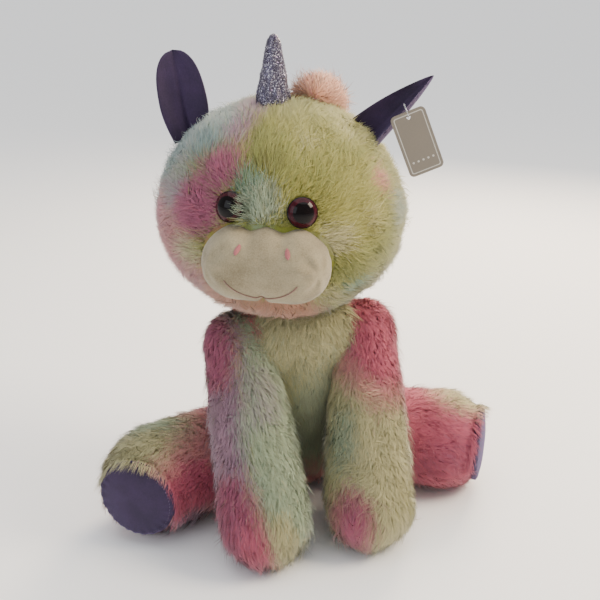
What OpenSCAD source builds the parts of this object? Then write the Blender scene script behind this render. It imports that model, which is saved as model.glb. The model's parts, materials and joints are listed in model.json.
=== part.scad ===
// Seated plush unicorn. Millimetres, +Z up, the face looks towards -Y.
// The origin is the middle of the round seat panel, on the surface it sits on.

/* [Torso] */
// Radius of the belly
belly_r = 68; // [66:1:70]
// Height of the belly's centre
belly_z = 60; // [58:1:62]
// Radius of the chest, which ends in the neck
chest_r = 46; // [44:1:48]
// Height of the chest's centre, where the head turns
chest_z = 164; // [160:1:168]
// Thickness of the pile cloth
cloth = 5; // [4:0.5:6]
// Width of the pale panel down the front
bib_w = 92; // [84:1:96]

/* [Head] */
// Width of the head over the cheeks
head_w = 208; // [204:1:212]
// Depth of the head from face to nape
head_d = 194; // [190:1:198]
// Height of the head from chin to crown
head_h = 186; // [182:1:190]
// How far the head is turned about the vertical, degrees
head_turn = -22; // [-26:1:-18]
// How far the head leans to its left, degrees
head_lean = 3; // [0:1:5]

/* [Face] */
// Diameter of the safety eyes
eye_d = 24; // [22:1:26]
// Diameter of the shank behind each eye
shank_d = 5; // [4:0.5:6]
// Angle of each eye away from the nose, degrees
eye_spread = 17.5; // [17:0.5:20]
// Radius of one lobe of the muzzle
muzzle_r = 31; // [29:1:33]

/* [Horn and ears] */
// Length of the horn above the crown
horn_len = 52; // [48:1:60]
// Radius of the horn where it meets the head
horn_r = 14; // [12:1:15]
// Length of an ear from its seam to its tip
ear_len = 66; // [60:1:70]
// Width of an ear at its widest
ear_w = 44; // [40:1:48]

/* [Legs] */
// Radius of a front leg at the shoulder
shoulder_r = 29; // [27:1:30]
// Radius of a front paw
paw_r = 39; // [37:1:40]
// Radius of a rear leg at the hip
hip_r = 42; // [40:1:43]
// Radius of a rear foot
foot_r = 47; // [45:1:48]
// Radius of the velour sole
sole_r = 35; // [32:1:37]

/* [Hang tag] */
// Width of the card
tag_w = 29; // [26:1:32]
// Length of the card
tag_len = 52; // [46:1:56]

/* [Hidden] */

// Facets round a stuffed form, and round a small exact part
soft_fn = 24;
round_fn = 48;
tuft_fn = 20;
$fn = soft_fn;

// Gap between bodies that move on each other, and between pieces of one body
joint_gap = 0.6;
leg_gap = 1.4;
seam_gap = 0.1;

// Reaches past the whole toy
far = 300;

// Torso stations
belly_at = [0, 0, belly_z];
chest_at = [-4, -32, chest_z];
seat_r = 27;
seat_t = 3;
bean_bag_r = 36;
bean_bag_h = 26;
bib_low_z = 62;
bib_back_y = -38;
bib_taper = 12;

// Collar of cloth between the torso and the head
collar_in = chest_r + joint_gap;
collar_out = chest_r + 3.4;
collar_low = 30;
collar_hole_r = 24;
neck_hollow_r = collar_out + leg_gap;

// Head
head_at = [-14, -36, 280];
head_half = [head_w, head_d, head_h] / 2;
eye_pitch = 12;
eye_reach = 94.6;
eye_dome_h = 7;
eye_ball_r = 15;
shank_len = 16;
shank_root = 1;
washer_d = 20;
washer_t = 2;
washer_depth = 5.4;
lobe_at = [22, -88, -24];
lobe_mid = 2;
lobe_squash = [0.98, 1.02, 1.02];
muzzle_cloth = 2;
nostril_at = [19, -7];
nostril_size = [4.4, 9];
nostril_slant = 14;
mouth_z = -14;
mouth_r = 34;
mouth_arc = 58;
thread_t = 1.2;
thread_w = 2.2;

// Horn: pivot at its root, in the head's own frame
horn_at = [-9, -14, 92];
horn_tip_shift = [-1, -4, 0];
horn_tip_r = 4;
horn_cloth = 1.6;

// Middle station of the horn, as shares of its length, bend and radius
horn_mid_z = 0.45;
horn_mid_bend = 0.4;
horn_mid_r = 0.78;

// Mane stations in the head's own frame, each with its radius
mane_path = [
  [20, 12, 95, 14], [26, 40, 86, 19], [18, 74, 60, 19],
  [8, 94, 20, 17], [4, 95, -20, 15], [2, 82, -50, 12]
];
mane_gap = 3;

// Ears, in the head's own frame
ear_seam_len = 34;
ear_t = 10;
ear_tip_r = 4;

// Height of an ear's two stations, and how narrow and thin the upper one is, as shares
ear_mid_z = 0.36;
ear_high_z = 0.66;
ear_high_w = 0.7;
ear_high_t = 0.8;

// Root point, lean and seam slope of each ear
ear_left_at = [-83, 2, 65];
ear_left_lean = -16;
ear_left_slope = -37;
ear_right_at = [77, 4, 72];
ear_right_lean = 37;
ear_right_slope = 48;

// Front legs: pivot at the shoulder
shoulder_at = [58, -50, 164];
paw_at = [44, -136, paw_r - 1];
paw_shift = -8;
leg_swing = 25;

// Rear legs: pivot at the hip
hip_at = [50, -22, 48];
foot_at = [136, -60, foot_r - 0.5];
hip_splay = 12;
sole_t = 3;
sole_bevel = 2;

// How far the toe is cut back to a flat for the sole
toe_flat = 8;
sole_turn_left = 34;
sole_turn_right = 58;

// Tail stations, each with its radius
tail_root = [0, 75, 60];
tail_root_r = 6.3;
tail_path = [[0, 80, 58, 9], [2, 99, 44, 19], [4, 113, 29, 16], [6, 121, 16, 9]];

// Hang tag, with its loop through the tip of the ear
tag_t = 0.8;
tag_corner = 4;
tag_hole_d = 3.6;
tag_hole_drop = 1;
tag_top = 4;
tag_lean = 22;
tag_turn = -15;
loop_d = 13;
loop_wire = 0.8;
loop_at = [0, 4.9, 3.2];
tag_hole_at = [77, -93, 362];

function sided(p, side) = [side * p[0], p[1], p[2]];
function paw_point(side) = sided(paw_at, side) + [paw_shift, 0, 0];

// Sphere at a point
module ball(at, r) {
  translate(at) sphere(r);
}

// Sphere at a station of a tuft's path, which gives its x, y, z and radius
module station(p) {
  ball([p[0], p[1], p[2]], p[3], $fn = tuft_fn);
}

// Half-space above the floor
module above_floor(low = 0) {
  translate([-far, -far, low]) cube(2 * far);
}

// Puts its children in the head's own frame
module head_frame() {
  translate(head_at) rotate([0, 0, head_turn]) rotate([0, head_lean, 0]) children();
}

// Puts its children on the eye's axis, which points out along -Y
module eye_frame(side) {
  head_frame() rotate([0, 0, side * eye_spread]) rotate([-eye_pitch, 0, 0])
    translate([0, -eye_reach, 0]) children();
}

module torso_form(grow = 0) {
  hull() {
    ball(belly_at, belly_r + grow);
    ball(chest_at, chest_r + grow);
  }
}

module front_leg_form(side, grow = 0) {
  hull() {
    ball(sided(shoulder_at, side), shoulder_r + grow);
    ball(paw_point(side), paw_r + grow);
  }
}

module rear_leg_form(side, grow = 0) {
  hull() {
    ball(sided(hip_at, side), hip_r + grow);
    ball(sided(foot_at, side), foot_r + grow);
  }
}

// Turns its children about a point
module turned(pivot, angles) {
  translate(pivot) rotate(angles) translate(-pivot) children();
}

// Room in the torso for every leg over its whole travel
module leg_room() {
  for (side = [-1, 1]) {
    hull()
      for (swing = [0, leg_swing])
        turned(sided(shoulder_at, side), [-swing, 0, 0]) front_leg_form(side, leg_gap);
    hull()
      for (splay = [-hip_splay, 0, hip_splay])
        turned(sided(hip_at, side), [0, 0, splay]) rear_leg_form(side, leg_gap);
  }
}

// The belly panel's outline, run through the front of the torso
module bib_prism(grow = 0) {
  hull() {
    for (z = [bib_low_z, chest_z])
      translate([0, bib_back_y, z]) rotate([90, 0, 0])
        cylinder(r = bib_w / 2 + grow - (z == bib_low_z ? bib_taper : 0), h = far);
  }
}

module torso_shell() {
  difference() {
    intersection() {
      torso_form();
      above_floor();
    }
    torso_form(-cloth);
    leg_room();
    translate([0, 0, -cloth]) cylinder(r = seat_r + joint_gap, h = 3 * cloth, $fn = round_fn);
  }
}

module seat_panel() {
  color("lightpink") cylinder(r = seat_r, h = seat_t, $fn = round_fn);
}

module torso_cover() {
  color("lightpink") difference() {
    torso_shell();
    bib_prism();
  }
}

module belly_panel() {
  color("honeydew") intersection() {
    torso_shell();
    bib_prism(-seam_gap);
  }
}

module torso_stuffing() {
  color("white") difference() {
    intersection() {
      torso_form(-cloth - seam_gap);
      above_floor(cloth);
    }
    leg_room();
    cylinder(r = bean_bag_r + joint_gap, h = seat_t + bean_bag_h + 2 * joint_gap, $fn = round_fn);
  }
}

// Pouch of plastic pellets that keeps the seat down, pressed in between the hips
module seat_bean_bag() {
  color("gainsboro") difference() {
    translate([0, 0, seat_t + seam_gap])
      cylinder(r1 = seat_r - cloth, r2 = bean_bag_r, h = bean_bag_h, $fn = round_fn);
    leg_room();
  }
}

// Gathered ring of cloth that the head turns on
module neck_collar() {
  color("lightpink") translate(chest_at) difference() {
    sphere(collar_out, $fn = round_fn);
    sphere(collar_in, $fn = round_fn);
    translate([-far, -far, collar_low - 2 * far]) cube(2 * far);
    cylinder(r = collar_hole_r, h = far, $fn = round_fn);
  }
}

module head_form(grow = 0) {
  head_frame() hull() scale(head_half + [grow, grow, grow]) sphere(1);
}

module neck_hollow() {
  translate(chest_at) hull() sphere(neck_hollow_r, $fn = round_fn);
}

module horn_pocket(grow = 0) {
  head_frame() translate(horn_at) sphere(horn_r + joint_gap + grow, $fn = round_fn);
}

module head_cover() {
  color("palegoldenrod") difference() {
    head_form();
    head_form(-cloth);
    neck_hollow();
    horn_pocket();
    for (side = [-1, 1])
      eye_frame(side) rotate([90, 0, 0]) {
        cylinder(d = shank_d + 2 * seam_gap, h = 4 * shank_len, center = true, $fn = round_fn);
        translate([0, 0, -seam_gap])
          cylinder(d = eye_d + 2 * joint_gap, h = 4 * eye_dome_h, $fn = round_fn);
      }
  }
}

module head_stuffing() {
  color("white") difference() {
    head_form(-cloth - seam_gap);
    neck_hollow();
    horn_pocket(joint_gap);
    for (side = [-1, 1])
      eye_frame(side) rotate([-90, 0, 0])
        cylinder(d = washer_d + 2 * joint_gap, h = shank_len + cloth, $fn = round_fn);
  }
}

module muzzle_form(grow = 0) {
  head_frame() hull()
    for (side = [-1, 1])
      translate([side * lobe_at[0] + lobe_mid, lobe_at[1], lobe_at[2]])
        scale(lobe_squash) sphere(muzzle_r + grow);
}

module muzzle_cover() {
  color("linen") difference() {
    muzzle_form();
    muzzle_form(-muzzle_cloth);
    head_form(seam_gap);
  }
}

module muzzle_stuffing() {
  color("white") difference() {
    muzzle_form(-muzzle_cloth - seam_gap);
    head_form(seam_gap);
  }
}

// Domed eye on a shank that goes through the cloth
module eye(side) {
  color("maroon") eye_frame(side) {
    intersection() {
      translate([0, eye_ball_r - eye_dome_h, 0]) sphere(eye_ball_r, $fn = round_fn);
      rotate([90, 0, 0]) cylinder(d = eye_d, h = 2 * eye_dome_h, $fn = round_fn);
    }
    translate([0, -shank_root, 0]) rotate([-90, 0, 0])
      cylinder(d = shank_d, h = shank_len, $fn = round_fn);
  }
}

module eye_left() {
  eye(-1);
}

module eye_right() {
  eye(1);
}

// Toothed washer that locks the shank behind the cloth
module eye_washer(side) {
  color("ivory") eye_frame(side) rotate([-90, 0, 0]) translate([0, 0, washer_depth]) difference() {
    cylinder(d = washer_d, h = washer_t, $fn = round_fn);
    translate([0, 0, -washer_t]) cylinder(d = shank_d + seam_gap, h = 3 * washer_t, $fn = round_fn);
  }
}

module eye_washer_left() {
  eye_washer(-1);
}

module eye_washer_right() {
  eye_washer(1);
}

// Layer of thread lying on the muzzle, cut to the outline of its children in the face's plane
module stitched() {
  intersection() {
    difference() {
      muzzle_form(thread_t);
      muzzle_form(seam_gap);
    }
    head_frame() translate([lobe_mid, lobe_at[1], 0]) rotate([90, 0, 0]) linear_extrude(far) children();
  }
}

// Slanted oval nostrils
module nostril_stitching() {
  color("palevioletred") stitched()
    for (side = [-1, 1])
      translate([side * nostril_at[0], nostril_at[1]]) rotate(-side * nostril_slant)
        union() {
          square([nostril_size[0], nostril_size[1] - nostril_size[0]], center = true);
          for (end = [-1, 1])
            translate([0, end * (nostril_size[1] - nostril_size[0]) / 2]) circle(d = nostril_size[0]);
        }
}

// Smile: the lower part of a ring
module mouth_stitching() {
  color("palevioletred") stitched() difference() {
    translate([0, mouth_z]) circle(mouth_r, $fn = round_fn);
    translate([0, mouth_z]) circle(mouth_r - thread_w, $fn = round_fn);
    translate([-far, mouth_z - mouth_r * cos(mouth_arc)]) square(2 * far);
  }
}

module mane() {
  color("pink") difference() {
    head_frame() for (i = [0:len(mane_path) - 2]) hull() {
      station(mane_path[i]);
      station(mane_path[i + 1]);
    }
    head_form(seam_gap);
    horn_pocket(mane_gap);
    translate(chest_at) sphere(neck_hollow_r + leg_gap);
  }
}

module horn_form(grow = 0) {
  head_frame() translate(horn_at) hull() {
    sphere(horn_r + grow);
    translate(horn_tip_shift * horn_mid_bend + [0, 0, horn_len * horn_mid_z])
      sphere(horn_r * horn_mid_r + grow);
    translate(horn_tip_shift + [0, 0, horn_len - horn_tip_r]) sphere(horn_tip_r + grow);
  }
}

module horn_cover() {
  color("thistle") difference() {
    horn_form();
    horn_form(-horn_cloth);
  }
}

module horn_stuffing() {
  color("white") horn_form(-horn_cloth - seam_gap);
}

// Flat round lens at a share of the ear's height
module leaf_station(share, width, thick) {
  translate([0, 0, ear_len * share]) scale([1, thick / width, 1]) sphere(d = width);
}

// Leaf-shaped ear that stands on a seam along its root
module ear(at, lean, slope) {
  color("rebeccapurple") difference() {
    head_frame() translate(at) hull() {
      rotate([0, slope + 90, 0]) cylinder(d = ear_t, h = ear_seam_len, center = true);
      rotate([0, lean, 0]) {
        leaf_station(ear_mid_z, ear_w, ear_t);
        leaf_station(ear_high_z, ear_w * ear_high_w, ear_t * ear_high_t);
        translate([0, 0, ear_len - ear_tip_r]) sphere(ear_tip_r);
      }
    }
    head_form(joint_gap);
  }
}

module ear_left() {
  ear(ear_left_at, ear_left_lean, ear_left_slope);
}

module ear_right() {
  ear(ear_right_at, ear_right_lean, ear_right_slope);
}

module front_leg_cover(side) {
  color("pink") difference() {
    intersection() {
      front_leg_form(side);
      above_floor();
    }
    front_leg_form(side, -cloth);
  }
}

module front_leg_left_cover() {
  front_leg_cover(-1);
}

module front_leg_right_cover() {
  front_leg_cover(1);
}

module front_leg_stuffing(side) {
  color("white") front_leg_form(side, -cloth - seam_gap);
}

module front_leg_left_stuffing() {
  front_leg_stuffing(-1);
}

module front_leg_right_stuffing() {
  front_leg_stuffing(1);
}

// Puts its children on the axis of a sole, which faces out along -Y
module sole_frame(side, turn) {
  translate(sided(foot_at, side)) rotate([0, 0, side * turn]) children();
}

// Space cut off the toe so that the sole lies flat on it
module toe_cut(side, turn, inset = 0) {
  sole_frame(side, turn) translate([-far, toe_flat + inset - foot_r - 2 * far, -far]) cube(2 * far);
}

module rear_leg_cover(side, turn) {
  color("lightpink") difference() {
    intersection() {
      rear_leg_form(side);
      above_floor();
    }
    difference() {
      rear_leg_form(side, -cloth);
      toe_cut(side, turn, cloth);
    }
    toe_cut(side, turn);
  }
}

module rear_leg_left_cover() {
  rear_leg_cover(-1, sole_turn_left);
}

module rear_leg_right_cover() {
  rear_leg_cover(1, sole_turn_right);
}

module rear_leg_stuffing(side, turn) {
  color("white") difference() {
    rear_leg_form(side, -cloth - seam_gap);
    toe_cut(side, turn, cloth + seam_gap);
  }
}

module rear_leg_left_stuffing() {
  rear_leg_stuffing(-1, sole_turn_left);
}

module rear_leg_right_stuffing() {
  rear_leg_stuffing(1, sole_turn_right);
}

// Velour disc sewn over the cut toe
module sole(side, turn) {
  color("rebeccapurple") sole_frame(side, turn) translate([0, toe_flat - seam_gap - foot_r, 0])
    rotate([90, 0, 0]) cylinder(r1 = sole_r, r2 = sole_r - sole_bevel, h = sole_t, $fn = round_fn);
}

module sole_left() {
  sole(-1, sole_turn_left);
}

module sole_right() {
  sole(1, sole_turn_right);
}

module tail() {
  color("pink") difference() {
    intersection() {
      union() {
        ball(tail_root, tail_root_r);
        for (i = [0:len(tail_path) - 2]) hull() {
          station(tail_path[i]);
          station(tail_path[i + 1]);
        }
      }
      above_floor(leg_gap);
    }
    torso_form(leg_gap);
  }
}

// Puts its children in the plane of the card, hanging from the hole down along -Z
module tag_frame() {
  translate(tag_hole_at) rotate([0, 0, tag_turn]) rotate([0, -tag_lean, 0]) children();
}

// Plastic loop from the ear through the card's hole
module tag_loop() {
  color("whitesmoke") tag_frame() translate(loop_at) rotate([0, 90, 0])
    rotate_extrude($fn = round_fn) translate([loop_d / 2, 0]) circle(d = loop_wire);
}

module hang_tag() {
  color("tan") tag_frame() rotate([90, 0, 0]) linear_extrude(tag_t, center = true) difference() {
    hull()
      for (x = [-1, 1], z = [0, 1])
        translate([x * (tag_w / 2 - tag_corner), tag_top - tag_corner - z * (tag_len - 2 * tag_corner)])
          circle(tag_corner);
    translate([0, -tag_hole_drop]) circle(d = tag_hole_d);
  }
}

seat_panel();
torso_cover();
belly_panel();
torso_stuffing();
seat_bean_bag();
neck_collar();
head_cover();
head_stuffing();
muzzle_cover();
muzzle_stuffing();
eye_left();
eye_right();
eye_washer_left();
eye_washer_right();
nostril_stitching();
mouth_stitching();
mane();
horn_cover();
horn_stuffing();
ear_left();
ear_right();
front_leg_left_cover();
front_leg_right_cover();
front_leg_left_stuffing();
front_leg_right_stuffing();
rear_leg_left_cover();
rear_leg_right_cover();
rear_leg_left_stuffing();
rear_leg_right_stuffing();
sole_left();
sole_right();
tail();
tag_loop();
hang_tag();
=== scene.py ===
"""A seated plush unicorn with long tie-dyed fur, velour trims, a glitter horn and a card tag."""
import json
import math

import bmesh
import bpy
import numpy as np
from mathutils import Matrix, Vector
from mathutils.bvhtree import BVHTree
from mathutils.kdtree import KDTree


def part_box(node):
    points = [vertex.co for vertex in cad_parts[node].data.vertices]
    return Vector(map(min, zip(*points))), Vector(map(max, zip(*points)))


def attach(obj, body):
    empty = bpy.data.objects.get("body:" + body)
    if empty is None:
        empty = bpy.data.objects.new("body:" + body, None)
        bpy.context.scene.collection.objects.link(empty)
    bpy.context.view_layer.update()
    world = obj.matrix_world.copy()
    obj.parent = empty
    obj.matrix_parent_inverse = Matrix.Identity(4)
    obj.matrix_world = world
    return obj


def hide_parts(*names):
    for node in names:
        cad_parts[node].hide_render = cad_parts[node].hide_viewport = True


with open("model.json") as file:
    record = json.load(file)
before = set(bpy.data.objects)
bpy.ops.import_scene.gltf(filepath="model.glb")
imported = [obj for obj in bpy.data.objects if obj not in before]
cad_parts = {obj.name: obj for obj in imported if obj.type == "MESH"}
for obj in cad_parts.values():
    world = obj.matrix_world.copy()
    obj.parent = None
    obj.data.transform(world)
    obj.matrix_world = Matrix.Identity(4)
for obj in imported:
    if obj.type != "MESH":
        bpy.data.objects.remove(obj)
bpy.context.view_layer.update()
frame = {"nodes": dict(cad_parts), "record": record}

MM = 0.001
rng = np.random.default_rng(7)
JOINTS = {j["name"]: j for j in frame["record"]["behaviour"]["joints"]}


def pivot(joint):
    return Vector(JOINTS[joint]["pos_m"])


NECK = pivot("head_turn")

# The head's own frame: x across, -y out of the face, z up
HEAD_HALF = Vector((104, 97, 93)) * MM
HEAD_TURN = math.radians(-22)
HEAD_LEAN = math.radians(3)
HORN_ROOT = Vector((-9, -14, 92)) * MM
HEAD_SPIN = Matrix.Rotation(HEAD_TURN, 3, "Z") @ Matrix.Rotation(HEAD_LEAN, 3, "Y")
HEAD_AT = pivot("horn_lean") - HEAD_SPIN @ HORN_ROOT
SPIN = np.array(HEAD_SPIN)


def from_head(points):
    """Points or one point of the head's frame, in metres, put in the row frame."""
    return np.atleast_2d(points) @ SPIN.T + np.array(HEAD_AT)


def to_head(points):
    return (np.atleast_2d(points) - np.array(HEAD_AT)) @ SPIN


# ---------------------------------------------------------------- camera, floor and light

CAMERA_AZIMUTH = math.radians(-15)
CAMERA_ELEVATION = math.radians(20)
CAMERA_DISTANCE = 0.76
CAMERA_LENS = 51.2
AIM_FROM_NECK = Vector((4, -14, 33)) * MM
FLOOR_REACH = 60.0
WORLD_STRENGTH = 0.58
LAMPS_AIM = Vector((0, 0, 0.2))
# Name, place, size, watts and colour of each soft lamp
LAMPS = [
    ("key_warm", (1.1, -0.5, 1.2), 0.6, 30, (1.0, 0.84, 0.64)),
    ("fill_cool", (-1.2, -0.8, 0.9), 1.0, 7, (0.85, 0.92, 1.0)),
    ("rim_warm", (0.8, 0.9, 0.9), 0.6, 28, (1.0, 0.80, 0.58)),
]
CEILING_STRENGTH = 2.0
CEILING_SOFTNESS = math.radians(75)
CEILING_TILT = (math.radians(-8), math.radians(10), 0)


def new_object(name, data):
    ob = bpy.data.objects.new(name, data)
    bpy.context.scene.collection.objects.link(ob)
    return ob


def make_camera():
    data = bpy.data.cameras.new("camera")
    data.lens = CAMERA_LENS
    data.sensor_width = 36
    camera = new_object("camera", data)
    level = math.cos(CAMERA_ELEVATION)
    back = Vector((math.sin(CAMERA_AZIMUTH) * level, -math.cos(CAMERA_AZIMUTH) * level,
                   math.sin(CAMERA_ELEVATION)))
    camera.location = NECK + AIM_FROM_NECK + back * CAMERA_DISTANCE
    camera.rotation_euler = back.to_track_quat("Z", "Y").to_euler()
    bpy.context.scene.camera = camera


def make_floor():
    reach = FLOOR_REACH
    corners = [(-reach, -reach, 0), (reach, -reach, 0), (reach, reach, 0), (-reach, reach, 0)]
    floor = object_from("floor", corners, [(0, 1, 2, 3)], smooth=False)
    paint, _, _ = shader("floor_paint", {"Base Color": (0.95, 0.95, 0.95, 1), "Roughness": 0.9})
    floor.data.materials.append(paint)


def make_lights():
    world = bpy.data.worlds.new("studio")
    world.use_nodes = True
    background = world.node_tree.nodes["Background"]
    background.inputs["Color"].default_value = (0.97, 0.98, 1.0, 1)
    background.inputs["Strength"].default_value = WORLD_STRENGTH
    bpy.context.scene.world = world
    for name, place, size, power, colour in LAMPS:
        data = bpy.data.lights.new(name, "AREA")
        data.size = size
        data.energy = power
        data.color = colour
        lamp = new_object(name, data)
        lamp.location = place
        lamp.rotation_euler = (lamp.location - LAMPS_AIM).to_track_quat("Z", "Y").to_euler()
    data = bpy.data.lights.new("ceiling_soft", "SUN")
    data.energy = CEILING_STRENGTH
    data.angle = CEILING_SOFTNESS
    new_object("ceiling_soft", data).rotation_euler = CEILING_TILT


# ---------------------------------------------------------------- meshes

def object_from(name, verts, faces, smooth=True):
    mesh = bpy.data.meshes.new(name)
    mesh.from_pydata([tuple(v) for v in verts], [], [tuple(f) for f in faces])
    mesh.update()
    if smooth:
        mesh.shade_smooth()
    return new_object(name, mesh)


def coords(mesh):
    out = np.empty(len(mesh.vertices) * 3)
    mesh.vertices.foreach_get("co", out)
    return out.reshape(-1, 3)


def set_coords(mesh, points):
    mesh.vertices.foreach_set("co", np.ascontiguousarray(points, dtype=np.float64).ravel())
    mesh.update()


def vertex_normals(mesh):
    out = np.empty(len(mesh.vertices) * 3)
    mesh.vertex_normals.foreach_get("vector", out)
    return out.reshape(-1, 3)


def unit(v):
    return v / np.maximum(np.linalg.norm(v, axis=-1, keepdims=True), 1e-12)


def apply_modifiers(ob):
    """Replaces an object's mesh by what its modifiers make of it."""
    graph = bpy.context.evaluated_depsgraph_get()
    mesh = bpy.data.meshes.new_from_object(ob.evaluated_get(graph))
    ob.modifiers.clear()
    old = ob.data
    ob.data = mesh
    bpy.data.meshes.remove(old)
    mesh.shade_smooth()
    return ob


def icosphere(level):
    bm = bmesh.new()
    bmesh.ops.create_icosphere(bm, subdivisions=level, radius=1)
    verts = np.array([v.co[:] for v in bm.verts])
    faces = [[v.index for v in f.verts] for f in bm.faces]
    bm.free()
    return verts, faces


def blob(name, *chains, voxel=4 * MM, smooth=12):
    """A stuffed form: hulls over consecutive spheres (x, y, z, r) of each chain, melted together."""
    ball, _ = icosphere(3)
    bm = bmesh.new()
    for (ax, ay, az, ar), (bx, by, bz, br) in (pair for c in chains for pair in zip(c, c[1:])):
        points = np.vstack([ball * ar + (ax, ay, az), ball * br + (bx, by, bz)])
        verts = [bm.verts.new(p) for p in points]
        hull = bmesh.ops.convex_hull(bm, input=verts)
        inside = [g for g in hull["geom_interior"] if isinstance(g, bmesh.types.BMVert)]
        bmesh.ops.delete(bm, geom=inside, context="VERTS")
    mesh = bpy.data.meshes.new(name)
    bm.to_mesh(mesh)
    bm.free()
    ob = new_object(name, mesh)
    remesh = ob.modifiers.new("melt", "REMESH")
    remesh.mode = "VOXEL"
    remesh.voxel_size = voxel
    soften = ob.modifiers.new("soften", "SMOOTH")
    soften.factor = 0.5
    soften.iterations = smooth
    return apply_modifiers(ob)


def vertex_group(ob, name, weights):
    group = ob.vertex_groups.new(name=name)
    for i, w in enumerate(weights):
        if w > 0:
            group.add([i], float(w), "REPLACE")
    return group


SWELL_FRAMES = 16
SKIN_STIFFNESS = 12


def swell(ob, pressure, cap, held=None):
    """Blows a sewn skin up from inside as cloth, held where it is sewn, with each move kept under cap."""
    rest = coords(ob.data)
    cloth = ob.modifiers.new("swell", "CLOTH")
    settings = cloth.settings
    settings.quality = 5
    settings.mass = 0.2
    settings.tension_stiffness = SKIN_STIFFNESS
    settings.compression_stiffness = SKIN_STIFFNESS
    settings.shear_stiffness = SKIN_STIFFNESS / 2
    settings.bending_stiffness = 0.4
    settings.use_pressure = True
    settings.uniform_pressure_force = pressure
    settings.effector_weights.gravity = 0
    if held is not None:
        settings.vertex_group_mass = vertex_group(ob, "held", held).name
    scene = bpy.context.scene
    cloth.point_cache.frame_start = 1
    cloth.point_cache.frame_end = SWELL_FRAMES
    for number in range(1, SWELL_FRAMES + 1):
        scene.frame_set(number)
    graph = bpy.context.evaluated_depsgraph_get()
    swollen = coords(ob.evaluated_get(graph).data)
    scene.frame_set(1)
    ob.modifiers.clear()
    ob.vertex_groups.clear()
    move = swollen - rest
    size = np.linalg.norm(move, axis=1, keepdims=True)
    move *= np.minimum(1, cap / np.maximum(size, 1e-9))
    set_coords(ob.data, rest + move)
    return ob


# ---------------------------------------------------------------- materials

def shader(name, sockets):
    """A material with nodes, its tree and its Principled shader, with the named sockets set."""
    material = bpy.data.materials.new(name)
    material.use_nodes = True
    principled = material.node_tree.nodes["Principled BSDF"]
    for socket, value in sockets.items():
        principled.inputs[socket].default_value = value
    return material, material.node_tree, principled


def node(tree, kind, **values):
    """Adds a node; a value named for a socket is set there, any other is set on the node itself."""
    made = tree.nodes.new(kind)
    for key, value in values.items():
        socket = key.replace("_", " ").title()
        if socket in made.inputs:
            made.inputs[socket].default_value = value
        else:
            setattr(made, key, value)
    return made


def ramp(tree, stops):
    made = tree.nodes.new("ShaderNodeValToRGB")
    elements = made.color_ramp.elements
    while len(elements) < len(stops):
        elements.new(0.5)
    for element, (place, colour) in zip(elements, stops):
        element.position = place
        element.color = (*colour, 1)
    return made


def toned(tree, source, stops, target):
    """Feeds one socket from another through a colour ramp."""
    tones = ramp(tree, stops)
    tree.links.new(source, tones.inputs["Fac"])
    tree.links.new(tones.outputs["Color"], target)


def object_noise(tree, scale, detail=2.0, roughness=0.5):
    place = tree.nodes.new("ShaderNodeTexCoord")
    noise = node(tree, "ShaderNodeTexNoise", scale=scale, detail=detail, roughness=roughness)
    tree.links.new(place.outputs["Object"], noise.inputs["Vector"])
    return noise


def bump(tree, principled, layers):
    """Chains bump nodes, each (texture node, strength, distance in metres), into the shader's normal."""
    last = None
    for texture, strength, distance in layers:
        step = node(tree, "ShaderNodeBump", strength=strength, distance=distance)
        tree.links.new(texture.outputs["Fac"], step.inputs["Height"])
        if last:
            tree.links.new(last.outputs["Normal"], step.inputs["Normal"])
        last = step
    tree.links.new(last.outputs["Normal"], principled.inputs["Normal"])


def velour(name, dark, light, nap=900, sheen=0.8, sheen_tint=(1, 1, 1)):
    """Short dense pile: brushed patches of two tones, fine fibre grain and a soft sheen."""
    material, tree, principled = shader(name, {
        "Roughness": 0.85, "Sheen Weight": sheen, "Sheen Roughness": 0.45, "Sheen Tint": (*sheen_tint, 1)})
    brushed = object_noise(tree, 38, 4, 0.6)
    fibre = object_noise(tree, nap, 3, 0.7)
    tone = node(tree, "ShaderNodeMath", operation="MULTIPLY_ADD")
    tree.links.new(fibre.outputs["Fac"], tone.inputs[0])
    tone.inputs[1].default_value = 0.55
    shift = node(tree, "ShaderNodeMath", operation="MULTIPLY_ADD")
    tree.links.new(brushed.outputs["Fac"], shift.inputs[0])
    shift.inputs[1].default_value = 0.75
    shift.inputs[2].default_value = -0.18
    tree.links.new(shift.outputs[0], tone.inputs[2])
    toned(tree, tone.outputs[0], [(0.2, dark), (0.8, light)], principled.inputs["Base Color"])
    bump(tree, principled, [(fibre, 0.5, 0.4 * MM), (brushed, 0.25, 1.2 * MM)])
    return material


def skin_cloth(name):
    """Knitted backing seen between the roots of the pile, dyed with it."""
    material, tree, principled = shader(name, {"Roughness": 0.95})
    knit = object_noise(tree, 1400, 2)
    colour = node(tree, "ShaderNodeAttribute", attribute_name="dye")
    mixed = node(tree, "ShaderNodeMix", data_type="RGBA", blend_type="MULTIPLY")
    mixed.inputs["Factor"].default_value = 1.0
    tree.links.new(colour.outputs["Color"], mixed.inputs["A"])
    tones = [(0.3, (0.72, 0.72, 0.72)), (0.7, (0.95, 0.95, 0.95))]
    toned(tree, knit.outputs["Fac"], tones, mixed.inputs["B"])
    tree.links.new(mixed.outputs["Result"], principled.inputs["Base Color"])
    bump(tree, principled, [(knit, 0.4, 0.3 * MM)])
    return material


# ---------------------------------------------------------------- dyes

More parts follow.
